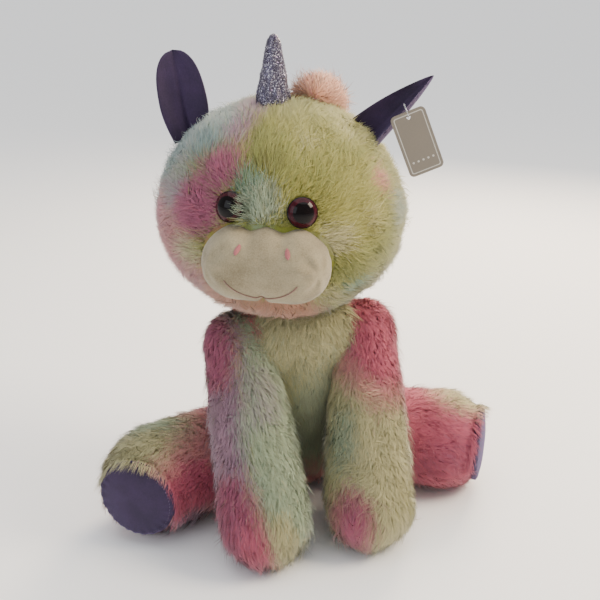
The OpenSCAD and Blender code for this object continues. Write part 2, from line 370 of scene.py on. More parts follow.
# Colours of the tie-dye and the trims, linear RGB
DYE = {
    "cream": (0.51, 0.47, 0.24),
    # milk, the bib's dye, is set a little darker as painted shade for the head's shadow over the bib
    "milk": (0.28, 0.30, 0.19),
    "mint": (0.33, 0.42, 0.27),
    "teal": (0.08, 0.25, 0.17),
    "sky": (0.21, 0.31, 0.33),
    "lilac": (0.30, 0.18, 0.30),
    "grey": (0.32, 0.27, 0.29),
    "magenta": (0.37, 0.04, 0.15),
    "pink": (0.52, 0.08, 0.15),
    "rose": (0.52, 0.19, 0.19),
    "peach": (0.55, 0.23, 0.12),
    "blush": (0.74, 0.40, 0.27),
    "lime": (0.24, 0.26, 0.032),
    "olive": (0.16, 0.145, 0.02),
    "yellow": (0.34, 0.30, 0.045),
}


def dyed(places, spots, base):
    """Colours at places in a unit box from spots ((x, y, z), radius, dye, strength), over a base dye."""
    total = np.full((len(places), 1), 0.07)
    colour = np.array(DYE[base])[None, :] * total
    for centre, radius, dye, strength in spots:
        far = np.linalg.norm(places - np.array(centre), axis=1, keepdims=True)
        weight = (strength * np.exp(-(far / radius) ** 2)) ** 1.5
        colour = colour + weight * np.array(DYE[dye])
        total = total + weight
    return colour / total


def in_box(points, low, high):
    """Points scaled so that the box from low to high runs from -1 to 1 on each axis."""
    centre = (np.array(low) + np.array(high)) / 2
    half = (np.array(high) - np.array(low)) / 2
    return (points - centre) / half


# ---------------------------------------------------------------- fur

PILE_COLOURS = 36
PILE = {"samples": [], "pieces": []}


def pile_material(index, colour, end):
    """One dyed fibre colour, for the root or the tip end of the strands; a root's colour comes in darker, as
    painted shade.
    """
    material, _, _ = shader(f"pile_{index:02d}_{end}", {
        "Base Color": (*colour, 1), "Roughness": 0.72, "Sheen Weight": 0.35, "Sheen Roughness": 0.4})
    return material


def palette(colours, count, rounds=12):
    """The few colours that stand for many best, found by moving each to the mean of those nearest it."""
    order = np.argsort(colours @ np.array([0.3, 0.6, 0.1]) + 0.3 * colours[:, 0] - 0.3 * colours[:, 1])
    centres = colours[order[np.linspace(0, len(order) - 1, count).astype(int)]].copy()
    for _ in range(rounds):
        nearest = ((colours[:, None] - centres[None]) ** 2).sum(2).argmin(1)
        for k in range(count):
            if (nearest == k).any():
                centres[k] = colours[nearest == k].mean(0)
    return centres


def scatter(ob, density, keep):
    """Places and normals of random points on a skin, density a square metre, where keep allows them."""
    mesh = ob.data
    mesh.calc_loop_triangles()
    tris = np.empty(len(mesh.loop_triangles) * 3, dtype=np.int32)
    mesh.loop_triangles.foreach_get("vertices", tris)
    tris = tris.reshape(-1, 3)
    points = coords(mesh)
    normals = vertex_normals(mesh)
    a, b, c = (points[tris[:, k]] for k in range(3))
    area = np.linalg.norm(np.cross(b - a, c - a), axis=1) / 2
    count = int(area.sum() * density)
    edges = np.cumsum(area)
    pick = np.searchsorted(edges, rng.random(count) * edges[-1])
    u, v = rng.random((2, count))
    over = u + v > 1
    u[over], v[over] = 1 - u[over], 1 - v[over]
    w = 1 - u - v
    weights = np.stack([w, u, v], 1)[:, :, None]
    place = (points[tris[pick]] * weights).sum(1)
    normal = unit((normals[tris[pick]] * weights).sum(1))
    inside = keep(place, normal)
    return place[inside], normal[inside]


def drift(p, size, channels=3, waves=5):
    """Smooth random values from about -1 to 1 that change over the given size."""
    out = np.zeros((len(p), channels))
    for _ in range(waves):
        way = rng.normal(0, 1, (3, channels)) / size * 1.6
        out += np.sin(p @ way + rng.uniform(0, 2 * math.pi, channels))
    return out / math.sqrt(waves / 2)


def clumps(place, size):
    """For each strand the index of the nearest of a few strands, which it leans towards."""
    count = max(1, len(place) // size)
    heads = rng.choice(len(place), count, replace=False)
    tree = KDTree(count)
    for i, h in enumerate(heads):
        tree.insert(place[h], i)
    tree.balance()
    return heads[np.array([tree.find(p)[1] for p in place])]


def everywhere(p, n):
    return np.ones(len(p), bool)


def fur(name, skin, body, colour_at, comb, length, density, width, lift, gather, clump, keep=everywhere,
        curl=0.25, lightness=0.1, slot="dyed_plush", swirl=0.35):
    """Long pile on a skin as tapered blades.

    colour_at(places) gives dye colours, comb(places, normals) the lie of the pile and length(places) how
    long it stands, in metres. gather pulls the tips of a clump together.
    """
    place, normal = scatter(skin, density, keep)
    count = len(place)
    lie = comb(place, normal)
    lie = lie - normal * (lie * normal).sum(1, keepdims=True)
    lie = unit(unit(lie) + rng.normal(0, curl, (count, 3)) + swirl * drift(place, 22 * MM))
    lie = unit(lie - normal * (lie * normal).sum(1, keepdims=True))
    long = length(place) * rng.uniform(0.72, 1.12, count) * (1 + 0.18 * drift(place, 12 * MM, 1)[:, 0])
    long = np.maximum(long, 2 * MM)
    rise = lift * rng.uniform(0.85, 1.1, count)
    tip = place + (normal * rise[:, None] + lie * (1 - rise * 0.55)[:, None]) * long[:, None]
    head = clumps(place, clump)
    tip += (tip[head] - tip) * (gather * rng.uniform(0.4, 1.0, count))[:, None] * 0.8
    knee = place + (normal * (rise * 0.62)[:, None] + lie * 0.16) * long[:, None]
    knee += (tip - place) * 0.08
    across = unit(np.cross(tip - place, normal + rng.normal(0, 0.5, (count, 3))))
    # Each blade shows its outer face
    across *= np.where((np.cross(across, tip - place) * normal).sum(1) < 0, -1, 1)[:, None]
    half = across * (width / 2 * rng.uniform(0.7, 1.25, count))[:, None]
    root = place - normal * 0.6 * MM
    verts = np.stack([root - half, root + half, knee - half * 0.8, knee + half * 0.8, tip], 1).reshape(-1, 3)
    verts[:, 2] = np.maximum(verts[:, 2], 0.3 * MM)
    shade = 1 + rng.normal(0, lightness, (count, 1))
    colour = np.clip(colour_at(place) * shade, 0.01, 0.95)
    PILE["samples"].append(colour)
    start = np.arange(count)[:, None] * 5
    quads = start + np.array([[0, 1, 3, 2]])
    tris = start + np.array([[2, 3, 4]])
    mesh = bpy.data.meshes.new(name)
    mesh.vertices.add(count * 5)
    mesh.loops.add(count * 7)
    mesh.polygons.add(count * 2)
    mesh.vertices.foreach_set("co", verts.ravel())
    mesh.loops.foreach_set("vertex_index", np.concatenate([quads, tris], 1).ravel().astype(np.int32))
    starts = np.arange(count)[:, None] * 7 + np.array([[0, 4]])
    mesh.polygons.foreach_set("loop_start", starts.ravel().astype(np.int32))
    mesh.update(calc_edges=True)
    flow = unit(normal * 0.8 + unit(tip - place) * 0.35)
    mesh.shade_smooth()
    mesh.normals_split_custom_set_from_vertices(np.repeat(flow, 5, axis=0).tolist())
    ob = new_object(name, mesh)
    PILE["pieces"].append((ob, colour))
    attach(ob, body)
    return ob


# Each coat of long-pile plush: its name, its length as a share of the pile's, and its strands.
# The main pile has no gather of its own, because its locks differ from skin to skin.
COATS = [
    ("undercoat", 0.75,
     {"density": 0.5e6, "width": 1.1 * MM, "lift": 0.5, "gather": 0.1, "clump": 8, "curl": 0.35}),
    ("pile", 1.1,
     {"density": 0.55e6, "width": 0.52 * MM, "lift": 0.45, "clump": 20, "curl": 0.2}),
    ("fine_pile", 1.02,
     {"density": 0.55e6, "width": 0.45 * MM, "lift": 0.5, "gather": 0.3, "clump": 40, "curl": 0.3}),
    ("guard_hairs", 1.35,
     {"density": 0.09e6, "width": 0.42 * MM, "lift": 0.55, "gather": 0.5, "clump": 6, "curl": 0.45,
      "lightness": 0.2}),
]


def plush(name, skin, body, colour_at, comb, length, keep, slot="dyed_plush", locks=0.42):
    """Long-pile plush: a short dense undercoat, a longer finer coat over it, and a few stray hairs."""
    for coat, share, strands in COATS:
        fur(f"{name}_{coat}", skin, body, colour_at, comb, lambda p, share=share: length(p) * share,
            keep=keep, slot=slot, **{"gather": locks, **strands})


def dye_all_fur():
    """Sorts every strand into the shared fibre colours, once all the fur is made."""
    samples = np.vstack(PILE["samples"])
    thin = samples[:: max(1, len(samples) // 12000)]
    centres = palette(thin, PILE_COLOURS)
    # The roots take a darker copy of each colour, painted shade low in the pile; the tips keep about the dye
    # itself
    shaded_roots = [pile_material(i, c * 0.9, "root") for i, c in enumerate(centres)]
    tips = [pile_material(i, np.clip(c * 0.98 + 0.01, 0, 1), "tip") for i, c in enumerate(centres)]
    for ob, colour in PILE["pieces"]:
        nearest = np.concatenate([((part[:, None] - centres[None]) ** 2).sum(2).argmin(1)
                                  for part in np.array_split(colour, max(1, len(colour) // 20000))])
        used = np.unique(nearest)
        slots = np.zeros(PILE_COLOURS, dtype=np.int32)
        slots[used] = np.arange(len(used))
        for material in [shaded_roots[k] for k in used] + [tips[k] for k in used]:
            ob.data.materials.append(material)
        index = np.stack([slots[nearest], slots[nearest] + len(used)], 1)
        ob.data.polygons.foreach_set("material_index", index.ravel().astype(np.int32))


# ---------------------------------------------------------------- stuffed skins

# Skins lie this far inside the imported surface, which is the middle of the pile
PILE_ROOM = 4.5 * MM
FLOOR_REST = 1.6 * MM

BELLY = (0, 0, 60 * MM, 68 * MM)
CHEST = (*NECK, 46 * MM)
SHOULDER_R, PAW_R, HIP_R, FOOT_R = 29 * MM, 39 * MM, 42 * MM, 47 * MM
BIB_LOW, BIB_HIGH = 62 * MM, 164 * MM
BIB_LOW_R, BIB_HIGH_R = 34 * MM, 46 * MM
PAWS_APART = 2 * MM
SOLE_R = 35 * MM
# The chest is in front of this plane, and the bib is let into it
CHEST_FRONT = -20 * MM
# Added to the distance from a seam where there is none
NO_SEAM = 30 * MM
FOOT_OUT, FOOT_FORWARD = 136 * MM, -60 * MM
SIDES = {"left": -1, "right": 1}


def paw(side):
    """Station of a front paw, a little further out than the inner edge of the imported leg."""
    low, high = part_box(f"front_leg_{side}_cover")
    inner = high.x if SIDES[side] < 0 else low.x
    return (inner + SIDES[side] * (PAW_R + PAWS_APART), low.y + PAW_R, PAW_R - 1 * MM, PAW_R)


def shoulder(side):
    return (*pivot(f"front_leg_{side}_swing"), SHOULDER_R)


def hip(side):
    return (*pivot(f"rear_leg_{side}_splay"), HIP_R)


def foot(side):
    return (SIDES[side] * FOOT_OUT, FOOT_FORWARD, FOOT_R - 0.5 * MM, FOOT_R)


def thinner(station, by=PILE_ROOM):
    return (*station[:3], station[3] - by)


def depth_in(points, a, b):
    """How far points lie inside the tapered limb between stations a and b; negative outside."""
    start, end = np.array(a[:3]), np.array(b[:3])
    along = end - start
    share = np.clip((points - start) @ along / (along @ along), 0, 1)
    far = np.linalg.norm(points - start - share[:, None] * along, axis=1)
    return a[3] + (b[3] - a[3]) * share - far


def rest_on_floor(ob, height=FLOOR_REST):
    points = coords(ob.data)
    low = points[:, 2] < height
    points[low, 2] = height
    set_coords(ob.data, points)


def groove(ob, distance, width, depth):
    """Sinks a skin along a seam; distance holds each vertex's distance from the seam."""
    points = coords(ob.data)
    pull = depth * np.exp(-(distance / width) ** 2)
    set_coords(ob.data, points - vertex_normals(ob.data) * pull[:, None])


def bib_edge(points):
    """Signed distance from the bib's outline in the plane of the chest; negative on the bib."""
    a, b = (0, 0, BIB_LOW, BIB_LOW_R), (0, 0, BIB_HIGH, BIB_HIGH_R)
    flat = points * np.array([1, 0, 1])
    return -depth_in(flat, a, b)


def split_skin(ob, name, chosen):
    """Moves the faces whose centres are chosen into a new object."""
    mesh = ob.data
    centres = np.empty(len(mesh.polygons) * 3)
    mesh.polygons.foreach_get("center", centres)
    pick = chosen(centres.reshape(-1, 3))
    other = new_object(name, mesh.copy())
    for target, drop in ((ob, pick), (other, ~pick)):
        bm = bmesh.new()
        bm.from_mesh(target.data)
        bm.faces.ensure_lookup_table()
        bmesh.ops.delete(bm, geom=[bm.faces[i] for i in np.flatnonzero(drop)], context="FACES")
        bm.to_mesh(target.data)
        bm.free()
    return other


def seam_held(distance, width=3 * MM):
    return np.where(np.abs(distance) < width, 1.0, 0.0)


def tint(ob, colour_at):
    """Stores the dye of each vertex, for the cloth under the pile."""
    colour = colour_at(coords(ob.data))
    attribute = ob.data.color_attributes.new("dye", "FLOAT_COLOR", "POINT")
    attribute.data.foreach_set("color", np.hstack([colour, np.ones((len(colour), 1))]).ravel())


def finish_skin(ob, body, material, nodes, dye=None):
    """Gives a skin its cloth, body and material slot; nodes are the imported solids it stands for."""
    if dye:
        tint(ob, dye)
    ob.data.materials.append(material)
    ob.data.shade_smooth()
    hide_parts(*nodes)
    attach(ob, body)


def head_skin():
    verts, faces = icosphere(6)
    half = np.array(HEAD_HALF) - PILE_ROOM
    # Full cheeks, a slightly flattened crown and a soft chin
    cheek = np.exp(-((verts[:, 2] + 0.35) / 0.4) ** 2) * np.abs(verts[:, 0])
    points = verts * half * (1 + 0.02 * cheek[:, None])
    for side in SIDES.values():
        centre = np.array(eye_axis(side)) * EYE_REACH
        far = np.linalg.norm(points - centre, axis=1)
        points -= unit(points) * (3.0 * MM * np.exp(-(far / (15 * MM)) ** 2))[:, None]
    ob = object_from("head_skin", from_head(points), faces)
    middle_seam = np.abs(points[:, 0] - 1 * MM) + np.where(points[:, 1] < 0, 0, NO_SEAM)
    side_seam = np.abs(points[:, 1] - 12 * MM) + np.where(points[:, 2] > -40 * MM, 0, NO_SEAM)
    seam = np.minimum(middle_seam, side_seam)
    swell(ob, 3.0, 3.5 * MM, seam_held(seam))
    groove(ob, seam, 3.5 * MM, 1.3 * MM)
    return ob


def bib_seam(ob):
    """Each vertex's distance from the seam round the bib."""
    points = coords(ob.data)
    return np.abs(bib_edge(points)) + np.where(points[:, 1] < CHEST_FRONT, 0, NO_SEAM)


def torso_skin():
    yoke = [thinner(shoulder("left"), 9 * MM), thinner(CHEST), thinner(shoulder("right"), 9 * MM)]
    ob = blob("torso_skin", [thinner(BELLY), thinner(CHEST)], yoke)
    rest_on_floor(ob)
    swell(ob, 2.5, 3 * MM, seam_held(bib_seam(ob)))
    rest_on_floor(ob)
    groove(ob, bib_seam(ob), 5 * MM, 2.6 * MM)
    # The bib is fuller in its middle
    points = coords(ob.data)
    across = np.exp(-(points[:, 0] / (38 * MM)) ** 2)
    upright = np.exp(-((points[:, 2] - 125 * MM) / (60 * MM)) ** 2)
    points[:, 1] -= across * upright * 9 * MM * (points[:, 1] < CHEST_FRONT)
    set_coords(ob.data, points)
    bib = split_skin(ob, "belly_skin", lambda c: (bib_edge(c) < 0) & (c[:, 1] < CHEST_FRONT))
    return ob, bib


def front_leg_skin(side):
    ob = blob(f"front_leg_{side}_skin", [thinner(shoulder(side), 3 * MM), thinner(paw(side))])
    rest_on_floor(ob)
    points = coords(ob.data)
    seam = np.abs(points[:, 0] - np.array(paw(side))[0] - SIDES[side] * 6 * MM)
    seam += np.where(points[:, 1] < -100 * MM, 0, NO_SEAM)
    swell(ob, 2.5, 3 * MM, seam_held(seam))
    groove(ob, seam, 4 * MM, 1.6 * MM)
    rest_on_floor(ob)
    return ob


def sole_rim(side, count=20, bead=7 * MM):
    """Small stations round the seam of a sole, which square off the end of the foot."""
    centre, out = sole_plane(side)
    across, up = np.array([-out[1], out[0], 0]), np.array([0, 0, 1])
    reach = SOLE_R - 1 * MM - bead
    return [(*(centre - out * (bead + 1 * MM) + reach * (math.cos(a) * across + math.sin(a) * up)), bead)
            for a in np.arange(count) * 2 * math.pi / count]


def rear_leg_skin(side):
    toe = thinner(foot(side))
    ob = blob(f"rear_leg_{side}_skin", [thinner(hip(side)), toe], *([toe, bead] for bead in sole_rim(side)))
    rest_on_floor(ob)
    swell(ob, 2.5, 3 * MM)
    points = coords(ob.data)
    centre, out = sole_plane(side)
    beyond = (points - centre) @ out
    points -= np.maximum(0, beyond + 3 * MM)[:, None] * out
    set_coords(ob.data, points)
    rest_on_floor(ob)
    return ob


# ---------------------------------------------------------------- places on the head and feet

EYE_SPREAD = math.radians(17.5)
EYE_PITCH = math.radians(12)
EYE_REACH = 94.6 * MM
EYE_R = 12 * MM


def eye_axis(side):
    """Unit vector along an eye's axis, out of the face, in the head's frame."""
    level = math.cos(EYE_PITCH)
    turn = side * EYE_SPREAD
    return (math.sin(turn) * level, -math.cos(turn) * level, math.sin(EYE_PITCH))


def sole_plane(side):
    """The middle of a sole and the way it faces."""
    low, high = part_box(f"sole_{side}")
    centre = np.array((low + high) / 2)
    toe = centre - np.array(foot(side)[:3])
    toe[2] = 0
    return centre, toe / np.linalg.norm(toe)


LOBE_AT = np.array((22, -88, -24)) * MM
LOBE_MIDDLE = 2 * MM
LOBE_R = 31 * MM


def muzzle_depth(points):
    """How far points in the head's frame lie inside the muzzle."""
    lobes = [(s * LOBE_AT[0] + LOBE_MIDDLE, LOBE_AT[1], LOBE_AT[2], LOBE_R) for s in (-1, 1)]
    return depth_in(points, *lobes)


def muzzle_skin():
    lobes = []
    for side in (-1, 1):
        at = LOBE_AT * np.array([side, 1, 1]) + np.array([LOBE_MIDDLE, 0, 0])
        lobes.append((*from_head(at)[0], LOBE_R - 1.5 * MM))
    ob = blob("muzzle_skin", lobes, voxel=2.6 * MM, smooth=6)
    points = to_head(coords(ob.data))
    x, _, z = points.T
    across = x - LOBE_MIDDLE
    # Two upper lobes with a smaller hump between them, and the corners of the mouth are pulled in
    shift = np.zeros_like(points)
    top = np.exp(-((z - 4 * MM) / (12 * MM)) ** 2)
    hump = 2.2 * np.exp(-(across / (7 * MM)) ** 2)
    dips = 1.8 * np.exp(-((np.abs(across) - 13 * MM) / (5 * MM)) ** 2)
    lobes = 1.8 * np.exp(-((np.abs(across) - 27 * MM) / (9 * MM)) ** 2)
    shift[:, 2] += top * (hump - dips + lobes) * MM
    chin = np.exp(-(across / (2.6 * MM)) ** 2) * np.clip((-z - 36 * MM) / (14 * MM), 0, 1)
    shift[:, 2] += chin * 4.5 * MM
    shift[:, 1] += chin * 1.5 * MM
    # Puckers where the sewn edge is gathered at the cheeks
    for corner in (-1, 1):
        away = np.hypot(across - corner * 45 * MM, z + 22 * MM)
        ripple = np.sin(np.arctan2(z + 22 * MM, across - corner * 45 * MM) * 7)
        fade = np.exp(-((away - 12 * MM) / (9 * MM)) ** 2)
        shift[:, 1] -= ripple * fade * (1.0 if corner < 0 else 1.8) * MM
    set_coords(ob.data, from_head(points + shift))
    back = (to_head(coords(ob.data))[:, 1] > -84 * MM).astype(float)
    swell(ob, 3.5, 2.0 * MM, back)
    return ob


# ---------------------------------------------------------------- combing

def even(length):
    return lambda p: np.full(len(p), length)


def combed(direction, extra=0.0):
    """A comb that lays the pile along one direction, sagging by extra."""
    way = np.array(direction, dtype=float)
    way /= np.linalg.norm(way)
    return lambda p, n: np.tile(way + np.array([0, 0, -extra]), (len(p), 1))


def face_comb(p, n):
    """The head's pile flows away from the muzzle, back over the crown and down the cheeks."""
    local = to_head(p)
    lie = local - np.array([2, -95, -20]) * MM
    lie = unit(lie) + np.array([0, 0.15, -0.25])
    return lie @ SPIN.T


def head_length(p):
    local = to_head(p)
    from_muzzle = -muzzle_depth(local)
    long = np.full(len(p), 13 * MM)
    long *= np.clip(0.5 + from_muzzle / (30 * MM), 0.5, 1)
    for side in (-1, 1):
        far = np.linalg.norm(local - np.array(eye_axis(side)) * EYE_REACH, axis=1)
        long *= np.clip(far / (26 * MM), 0.45, 1)
    return long


def head_keep(p, n):
    local = to_head(p)
    keep = muzzle_depth(local) < -0.5 * MM
    for side in (-1, 1):
        axis = np.array(eye_axis(side))
        off = local - np.outer(local @ axis, axis)
        keep &= (np.linalg.norm(off, axis=1) > EYE_R - 0.3 * MM) | (local @ axis < 0)
    keep &= np.linalg.norm(p - np.array(pivot("horn_lean")), axis=1) > 12.5 * MM
    keep &= np.linalg.norm(p - np.array(NECK), axis=1) > 50 * MM
    return keep


def torso_keep(p, n):
    keep = p[:, 2] > 3 * MM
    for side in SIDES:
        keep &= depth_in(p, shoulder(side), paw(side)) < 9 * MM
        keep &= depth_in(p, hip(side), foot(side)) < 6 * MM
    local = to_head(p) / np.array(HEAD_HALF)
    return keep & (np.linalg.norm(local, axis=1) > 0.96)


def leg_keep(p, n):
    local = to_head(p) / np.array(HEAD_HALF)
    keep = (depth_in(p, BELLY, CHEST) < 4 * MM) & (p[:, 2] > 2.5 * MM)
    for side in SIDES:
        keep &= np.linalg.norm(p - np.array(shoulder(side)[:3]), axis=1) > 18 * MM
    return keep & (np.linalg.norm(local, axis=1) > 0.98)


def leg_length(p):
    """The pile of a front leg grows longer and fluffier towards the paw."""
    return 12 * MM + 4 * MM * np.clip(1 - p[:, 2] / (70 * MM), 0, 1)


def foot_length(side):
    """The pile of a foot, cut short where it meets the sole."""
    centre, out = sole_plane(side)
    return lambda p: 13 * MM * np.clip(-((p - centre) @ out) / (20 * MM), 0.45, 1)


def beside_sole(p, side):
    """How far points stand out past a sole's plane, and how far they are from its axis."""
    centre, out = sole_plane(side)
    off = p - centre
    ahead = off @ out
    return ahead, np.linalg.norm(off - np.outer(ahead, out), axis=1)


def foot_keep(side):
    """The foot without the sole."""
    _, out = sole_plane(side)

    def keep(p, n):
        ahead, radial = beside_sole(p, side)
        on_sole = (ahead > -6 * MM) & ((radial < 29 * MM) | (n @ out > 0.6))
        return leg_keep(p, n) & ~on_sole
    return keep


def brow_keep(p, n):
    """The patch of the bridge whose pile falls over the inner side of the left eye."""
    off = to_head(p) - np.array(eye_axis(-1)) * EYE_REACH
    beside = (off[:, 0] > EYE_R - 1 * MM) & (off[:, 0] < EYE_R + 5 * MM)
    return beside & (np.abs(off[:, 2] + 1 * MM) < 10 * MM) & (off[:, 1] < 20 * MM)


def brow_comb(p, n):
    return np.tile(np.array([-1.0, -0.2, -0.35]) @ SPIN.T, (len(p), 1))


def rim_keep(side):
    """A band of the foot round the sole's seam, clear of the floor."""
    centre, out = sole_plane(side)

    def keep(p, n):
        ahead, radial = beside_sole(p, side)
        at_seam = (ahead > -10 * MM) & (radial > 28 * MM) & (n @ out < 0.6)
        return at_seam & (p[:, 2] - centre[2] > -12 * MM) & (p[:, 2] > 4 * MM)
    return keep


def rim_comb(side):
    """Pile that turns round the rim and hangs down over the sole."""
    _, out = sole_plane(side)
    return lambda p, n: np.tile(out * 0.8 + np.array([0, 0, -1.2]), (len(p), 1))


# ---------------------------------------------------------------- dye maps

HEAD_DYE = [
    ((-0.9, 0.1, 0.5), 0.32, "teal", 1.3), ((-0.75, -0.1, 0.65), 0.32, "sky", 1.4),
    ((-0.55, -0.4, 0.75), 0.24, "sky", 1.1), ((-0.72, -0.5, 0.5), 0.14, "grey", 0.8),
    ((-0.3, -0.55, 0.8), 0.16, "lilac", 1.0), ((-0.1, -0.62, 0.75), 0.13, "olive", 0.9),
    ((-0.36, -0.8, 0.5), 0.14, "magenta", 0.8),
    ((-0.55, -0.8, 0.15), 0.17, "magenta", 1.1), ((-0.9, -0.4, 0.0), 0.20, "pink", 0.9),
    ((-0.8, -0.6, 0.25), 0.16, "grey", 1.0), ((-1.0, -0.1, 0.2), 0.26, "sky", 1.1),
    ((-0.85, -0.45, -0.35), 0.32, "rose", 1.7), ((-0.62, -0.74, -0.25), 0.12, "cream", 1.0),
    ((-0.7, -0.5, -0.6), 0.24, "lilac", 0.8), ((-0.4, -0.4, -0.8), 0.32, "peach", 1.2),
    ((0.15, -0.55, -0.82), 0.26, "peach", 0.9), ((-0.2, -0.3, 0.95), 0.20, "lilac", 0.7),
    ((0.1, -0.5, 0.85), 0.30, "yellow", 1.1), ((0.4, -0.5, 0.75), 0.34, "lime", 1.0),
    ((0.6, -0.7, 0.4), 0.30, "yellow", 1.0), ((-0.06, -0.93, 0.26), 0.13, "mint", 0.9),
    ((-0.14, -0.9, 0.4), 0.11, "teal", 0.6), ((0.02, -0.8, 0.6), 0.16, "olive", 0.7),
    ((0.2, -0.7, 0.7), 0.16, "mint", 0.6), ((0.8, -0.45, 0.42), 0.10, "pink", 1.0),
    ((0.9, -0.4, -0.1), 0.34, "lime", 1.0), ((0.7, -0.2, -0.7), 0.36, "olive", 1.0),
    ((0.52, -0.85, 0.0), 0.12, "cream", 0.9), ((0.3, -0.2, 0.95), 0.30, "yellow", 0.9),
    ((0.28, -0.62, 0.72), 0.11, "cream", 0.9), ((0.95, -0.3, 0.12), 0.16, "sky", 0.8),
    # The cream spot at the crown, (0.28, -0.62, 0.72), is partly dye and partly a painted highlight on the
    # top of the head
    ((0.66, -0.55, -0.45), 0.14, "teal", 0.6), ((0.78, -0.62, 0.12), 0.12, "cream", 0.7),
    ((0.45, -0.8, 0.45), 0.12, "olive", 0.8), ((0.55, -0.35, 0.75), 0.12, "cream", 0.8),
    ((0.5, -0.7, -0.6), 0.14, "cream", 0.6), ((0.05, -0.7, 0.72), 0.10, "teal", 0.5),
    ((0.5, 0.7, 0.4), 0.50, "cream", 0.9), ((-0.5, 0.8, 0.2), 0.45, "pink", 0.9),
    ((0.1, 0.9, -0.3), 0.40, "teal", 0.8), ((0.9, 0.4, 0.0), 0.30, "yellow", 0.8),
]

# In the box of the torso
TORSO_DYE = [
    ((-0.8, -0.5, 0.7), 0.5, "rose", 1.2), ((0.8, -0.5, 0.7), 0.5, "pink", 1.2),
    ((-0.9, 0.0, -0.2), 0.5, "rose", 1.0), ((0.9, 0.0, -0.2), 0.5, "peach", 1.0),
    ((0.0, 1.0, 0.4), 0.5, "cream", 0.9), ((-0.5, 0.9, -0.3), 0.45, "teal", 0.8),
    ((0.5, 0.9, 0.0), 0.45, "lilac", 0.8), ((0.0, 0.8, -0.8), 0.5, "magenta", 0.8),
]
BIB_DYE = [
    ((0.0, -1.0, 0.1), 0.45, "milk", 0.9), ((0.2, -0.8, -0.2), 0.30, "mint", 0.5),
    ((-0.2, -0.9, 0.3), 0.35, "cream", 0.9),
    ((0.0, -1.0, 0.9), 0.50, "cream", 0.9), ((0.0, -1.0, -0.9), 0.35, "rose", 0.6),
]

# In the box of each leg, x growing towards the toy's left
FRONT_LEFT_DYE = [
    ((-0.9, 0.5, 0.6), 0.5, "magenta", 1.1), ((-1.0, 0.0, 0.1), 0.45, "lilac", 1.1),
    ((-0.9, -0.6, -0.5), 0.45, "magenta", 1.2), ((-0.5, -1.0, -0.8), 0.4, "pink", 1.2),
    ((0.3, -0.8, 0.0), 0.5, "mint", 1.1), ((0.6, -0.9, -0.4), 0.35, "mint", 1.0),
    ((0.2, -1.0, -0.5), 0.30, "cream", 1.2), ((0.5, -1.0, -0.9), 0.35, "yellow", 0.8),
    ((0.1, -0.3, 0.6), 0.35, "grey", 0.9),
]
FRONT_RIGHT_DYE = [
    ((0.5, 0.4, 0.7), 0.55, "pink", 1.3), ((-0.7, -0.5, 0.3), 0.35, "teal", 1.1),
    ((-0.7, -0.9, 0.0), 0.30, "yellow", 0.9), ((-0.6, -1.0, -0.6), 0.34, "magenta", 1.2),
    ((0.3, -1.0, -0.1), 0.50, "cream", 1.3), ((0.8, -0.5, 0.0), 0.40, "cream", 1.1),
    ((0.6, -0.8, -0.6), 0.40, "yellow", 0.8), ((0.1, -0.9, -0.9), 0.40, "cream", 0.8),
]
REAR_LEFT_DYE = [
    ((-0.8, -0.4, 0.6), 0.45, "cream", 1.1), ((-0.5, 0.0, 0.9), 0.40, "mint", 0.9),
    ((-0.2, -0.7, 0.1), 0.45, "pink", 1.1), ((0.2, -0.2, 0.3), 0.5, "rose", 1.0),
    ((-0.3, -0.8, -0.6), 0.40, "lilac", 0.9), ((0.6, 0.4, 0.4), 0.5, "pink", 1.0),
]
REAR_RIGHT_DYE = [
    ((-0.2, -0.5, 0.3), 0.5, "pink", 1.2), ((0.3, -0.5, 0.0), 0.5, "magenta", 1.0),
    ((0.8, -0.2, 0.9), 0.35, "cream", 1.2), ((0.5, -0.7, -0.5), 0.45, "pink", 1.1),
    ((-0.6, 0.4, 0.4), 0.5, "peach", 1.0),
]
TUFT_DYE = [
    ((0, 0, 1), 0.8, "blush", 1.0), ((0, 1, 0), 0.6, "peach", 0.7), ((0.4, -1, 0.6), 0.5, "blush", 0.8),
]
# The spots of each leg and the dye between them
LEG_DYES = {
    "front_leg_left": (FRONT_LEFT_DYE, "mint"), "front_leg_right": (FRONT_RIGHT_DYE, "cream"),
    "rear_leg_left": (REAR_LEFT_DYE, "rose"), "rear_leg_right": (REAR_RIGHT_DYE, "pink"),
}


def tuft_dye(node_name):
    """Dye map of the mane or the tail."""
    low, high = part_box(node_name)
    return lambda p: dyed(in_box(p, low, high), TUFT_DYE, "peach")


def box_dye(node_name, spots, base):
    """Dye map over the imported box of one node."""
    low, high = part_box(node_name)
    return lambda p: dyed(in_box(p, low, high) + rng.normal(0, 0.05, p.shape), spots, base)


def head_dye(p):
    place = to_head(p) / np.array(HEAD_HALF)
    return dyed(place + rng.normal(0, 0.035, place.shape), HEAD_DYE, "lime")


# ---------------------------------------------------------------- small pieces

def joined(name, parts, smooth=True):
    """One object from several (verts, faces, material) parts."""
    verts, faces, slots, materials = [], [], [], []
    for part_verts, part_faces, material in parts:
        if material not in materials:
            materials.append(material)
        base = len(verts)
        verts.extend(tuple(v) for v in part_verts)
        faces.extend(tuple(base + i for i in f) for f in part_faces)
        slots.extend([materials.index(material)] * len(part_faces))
    ob = object_from(name, verts, faces, smooth)
    for material in materials:
        ob.data.materials.append(material)
    ob.data.polygons.foreach_set("material_index", slots)
    return ob


def ring_faces(rows, steps):
    """Quads between consecutive rings of points, with the first and the last ring closed."""
    faces = []
    for start in range(0, (rows - 1) * steps, steps):
        for k in range(steps):
            after = (k + 1) % steps
            faces.append((start + k, start + after, start + steps + after, start + steps + k))
    faces.append(tuple(range(steps))[::-1])
    faces.append(tuple((rows - 1) * steps + k for k in range(steps)))
    return faces


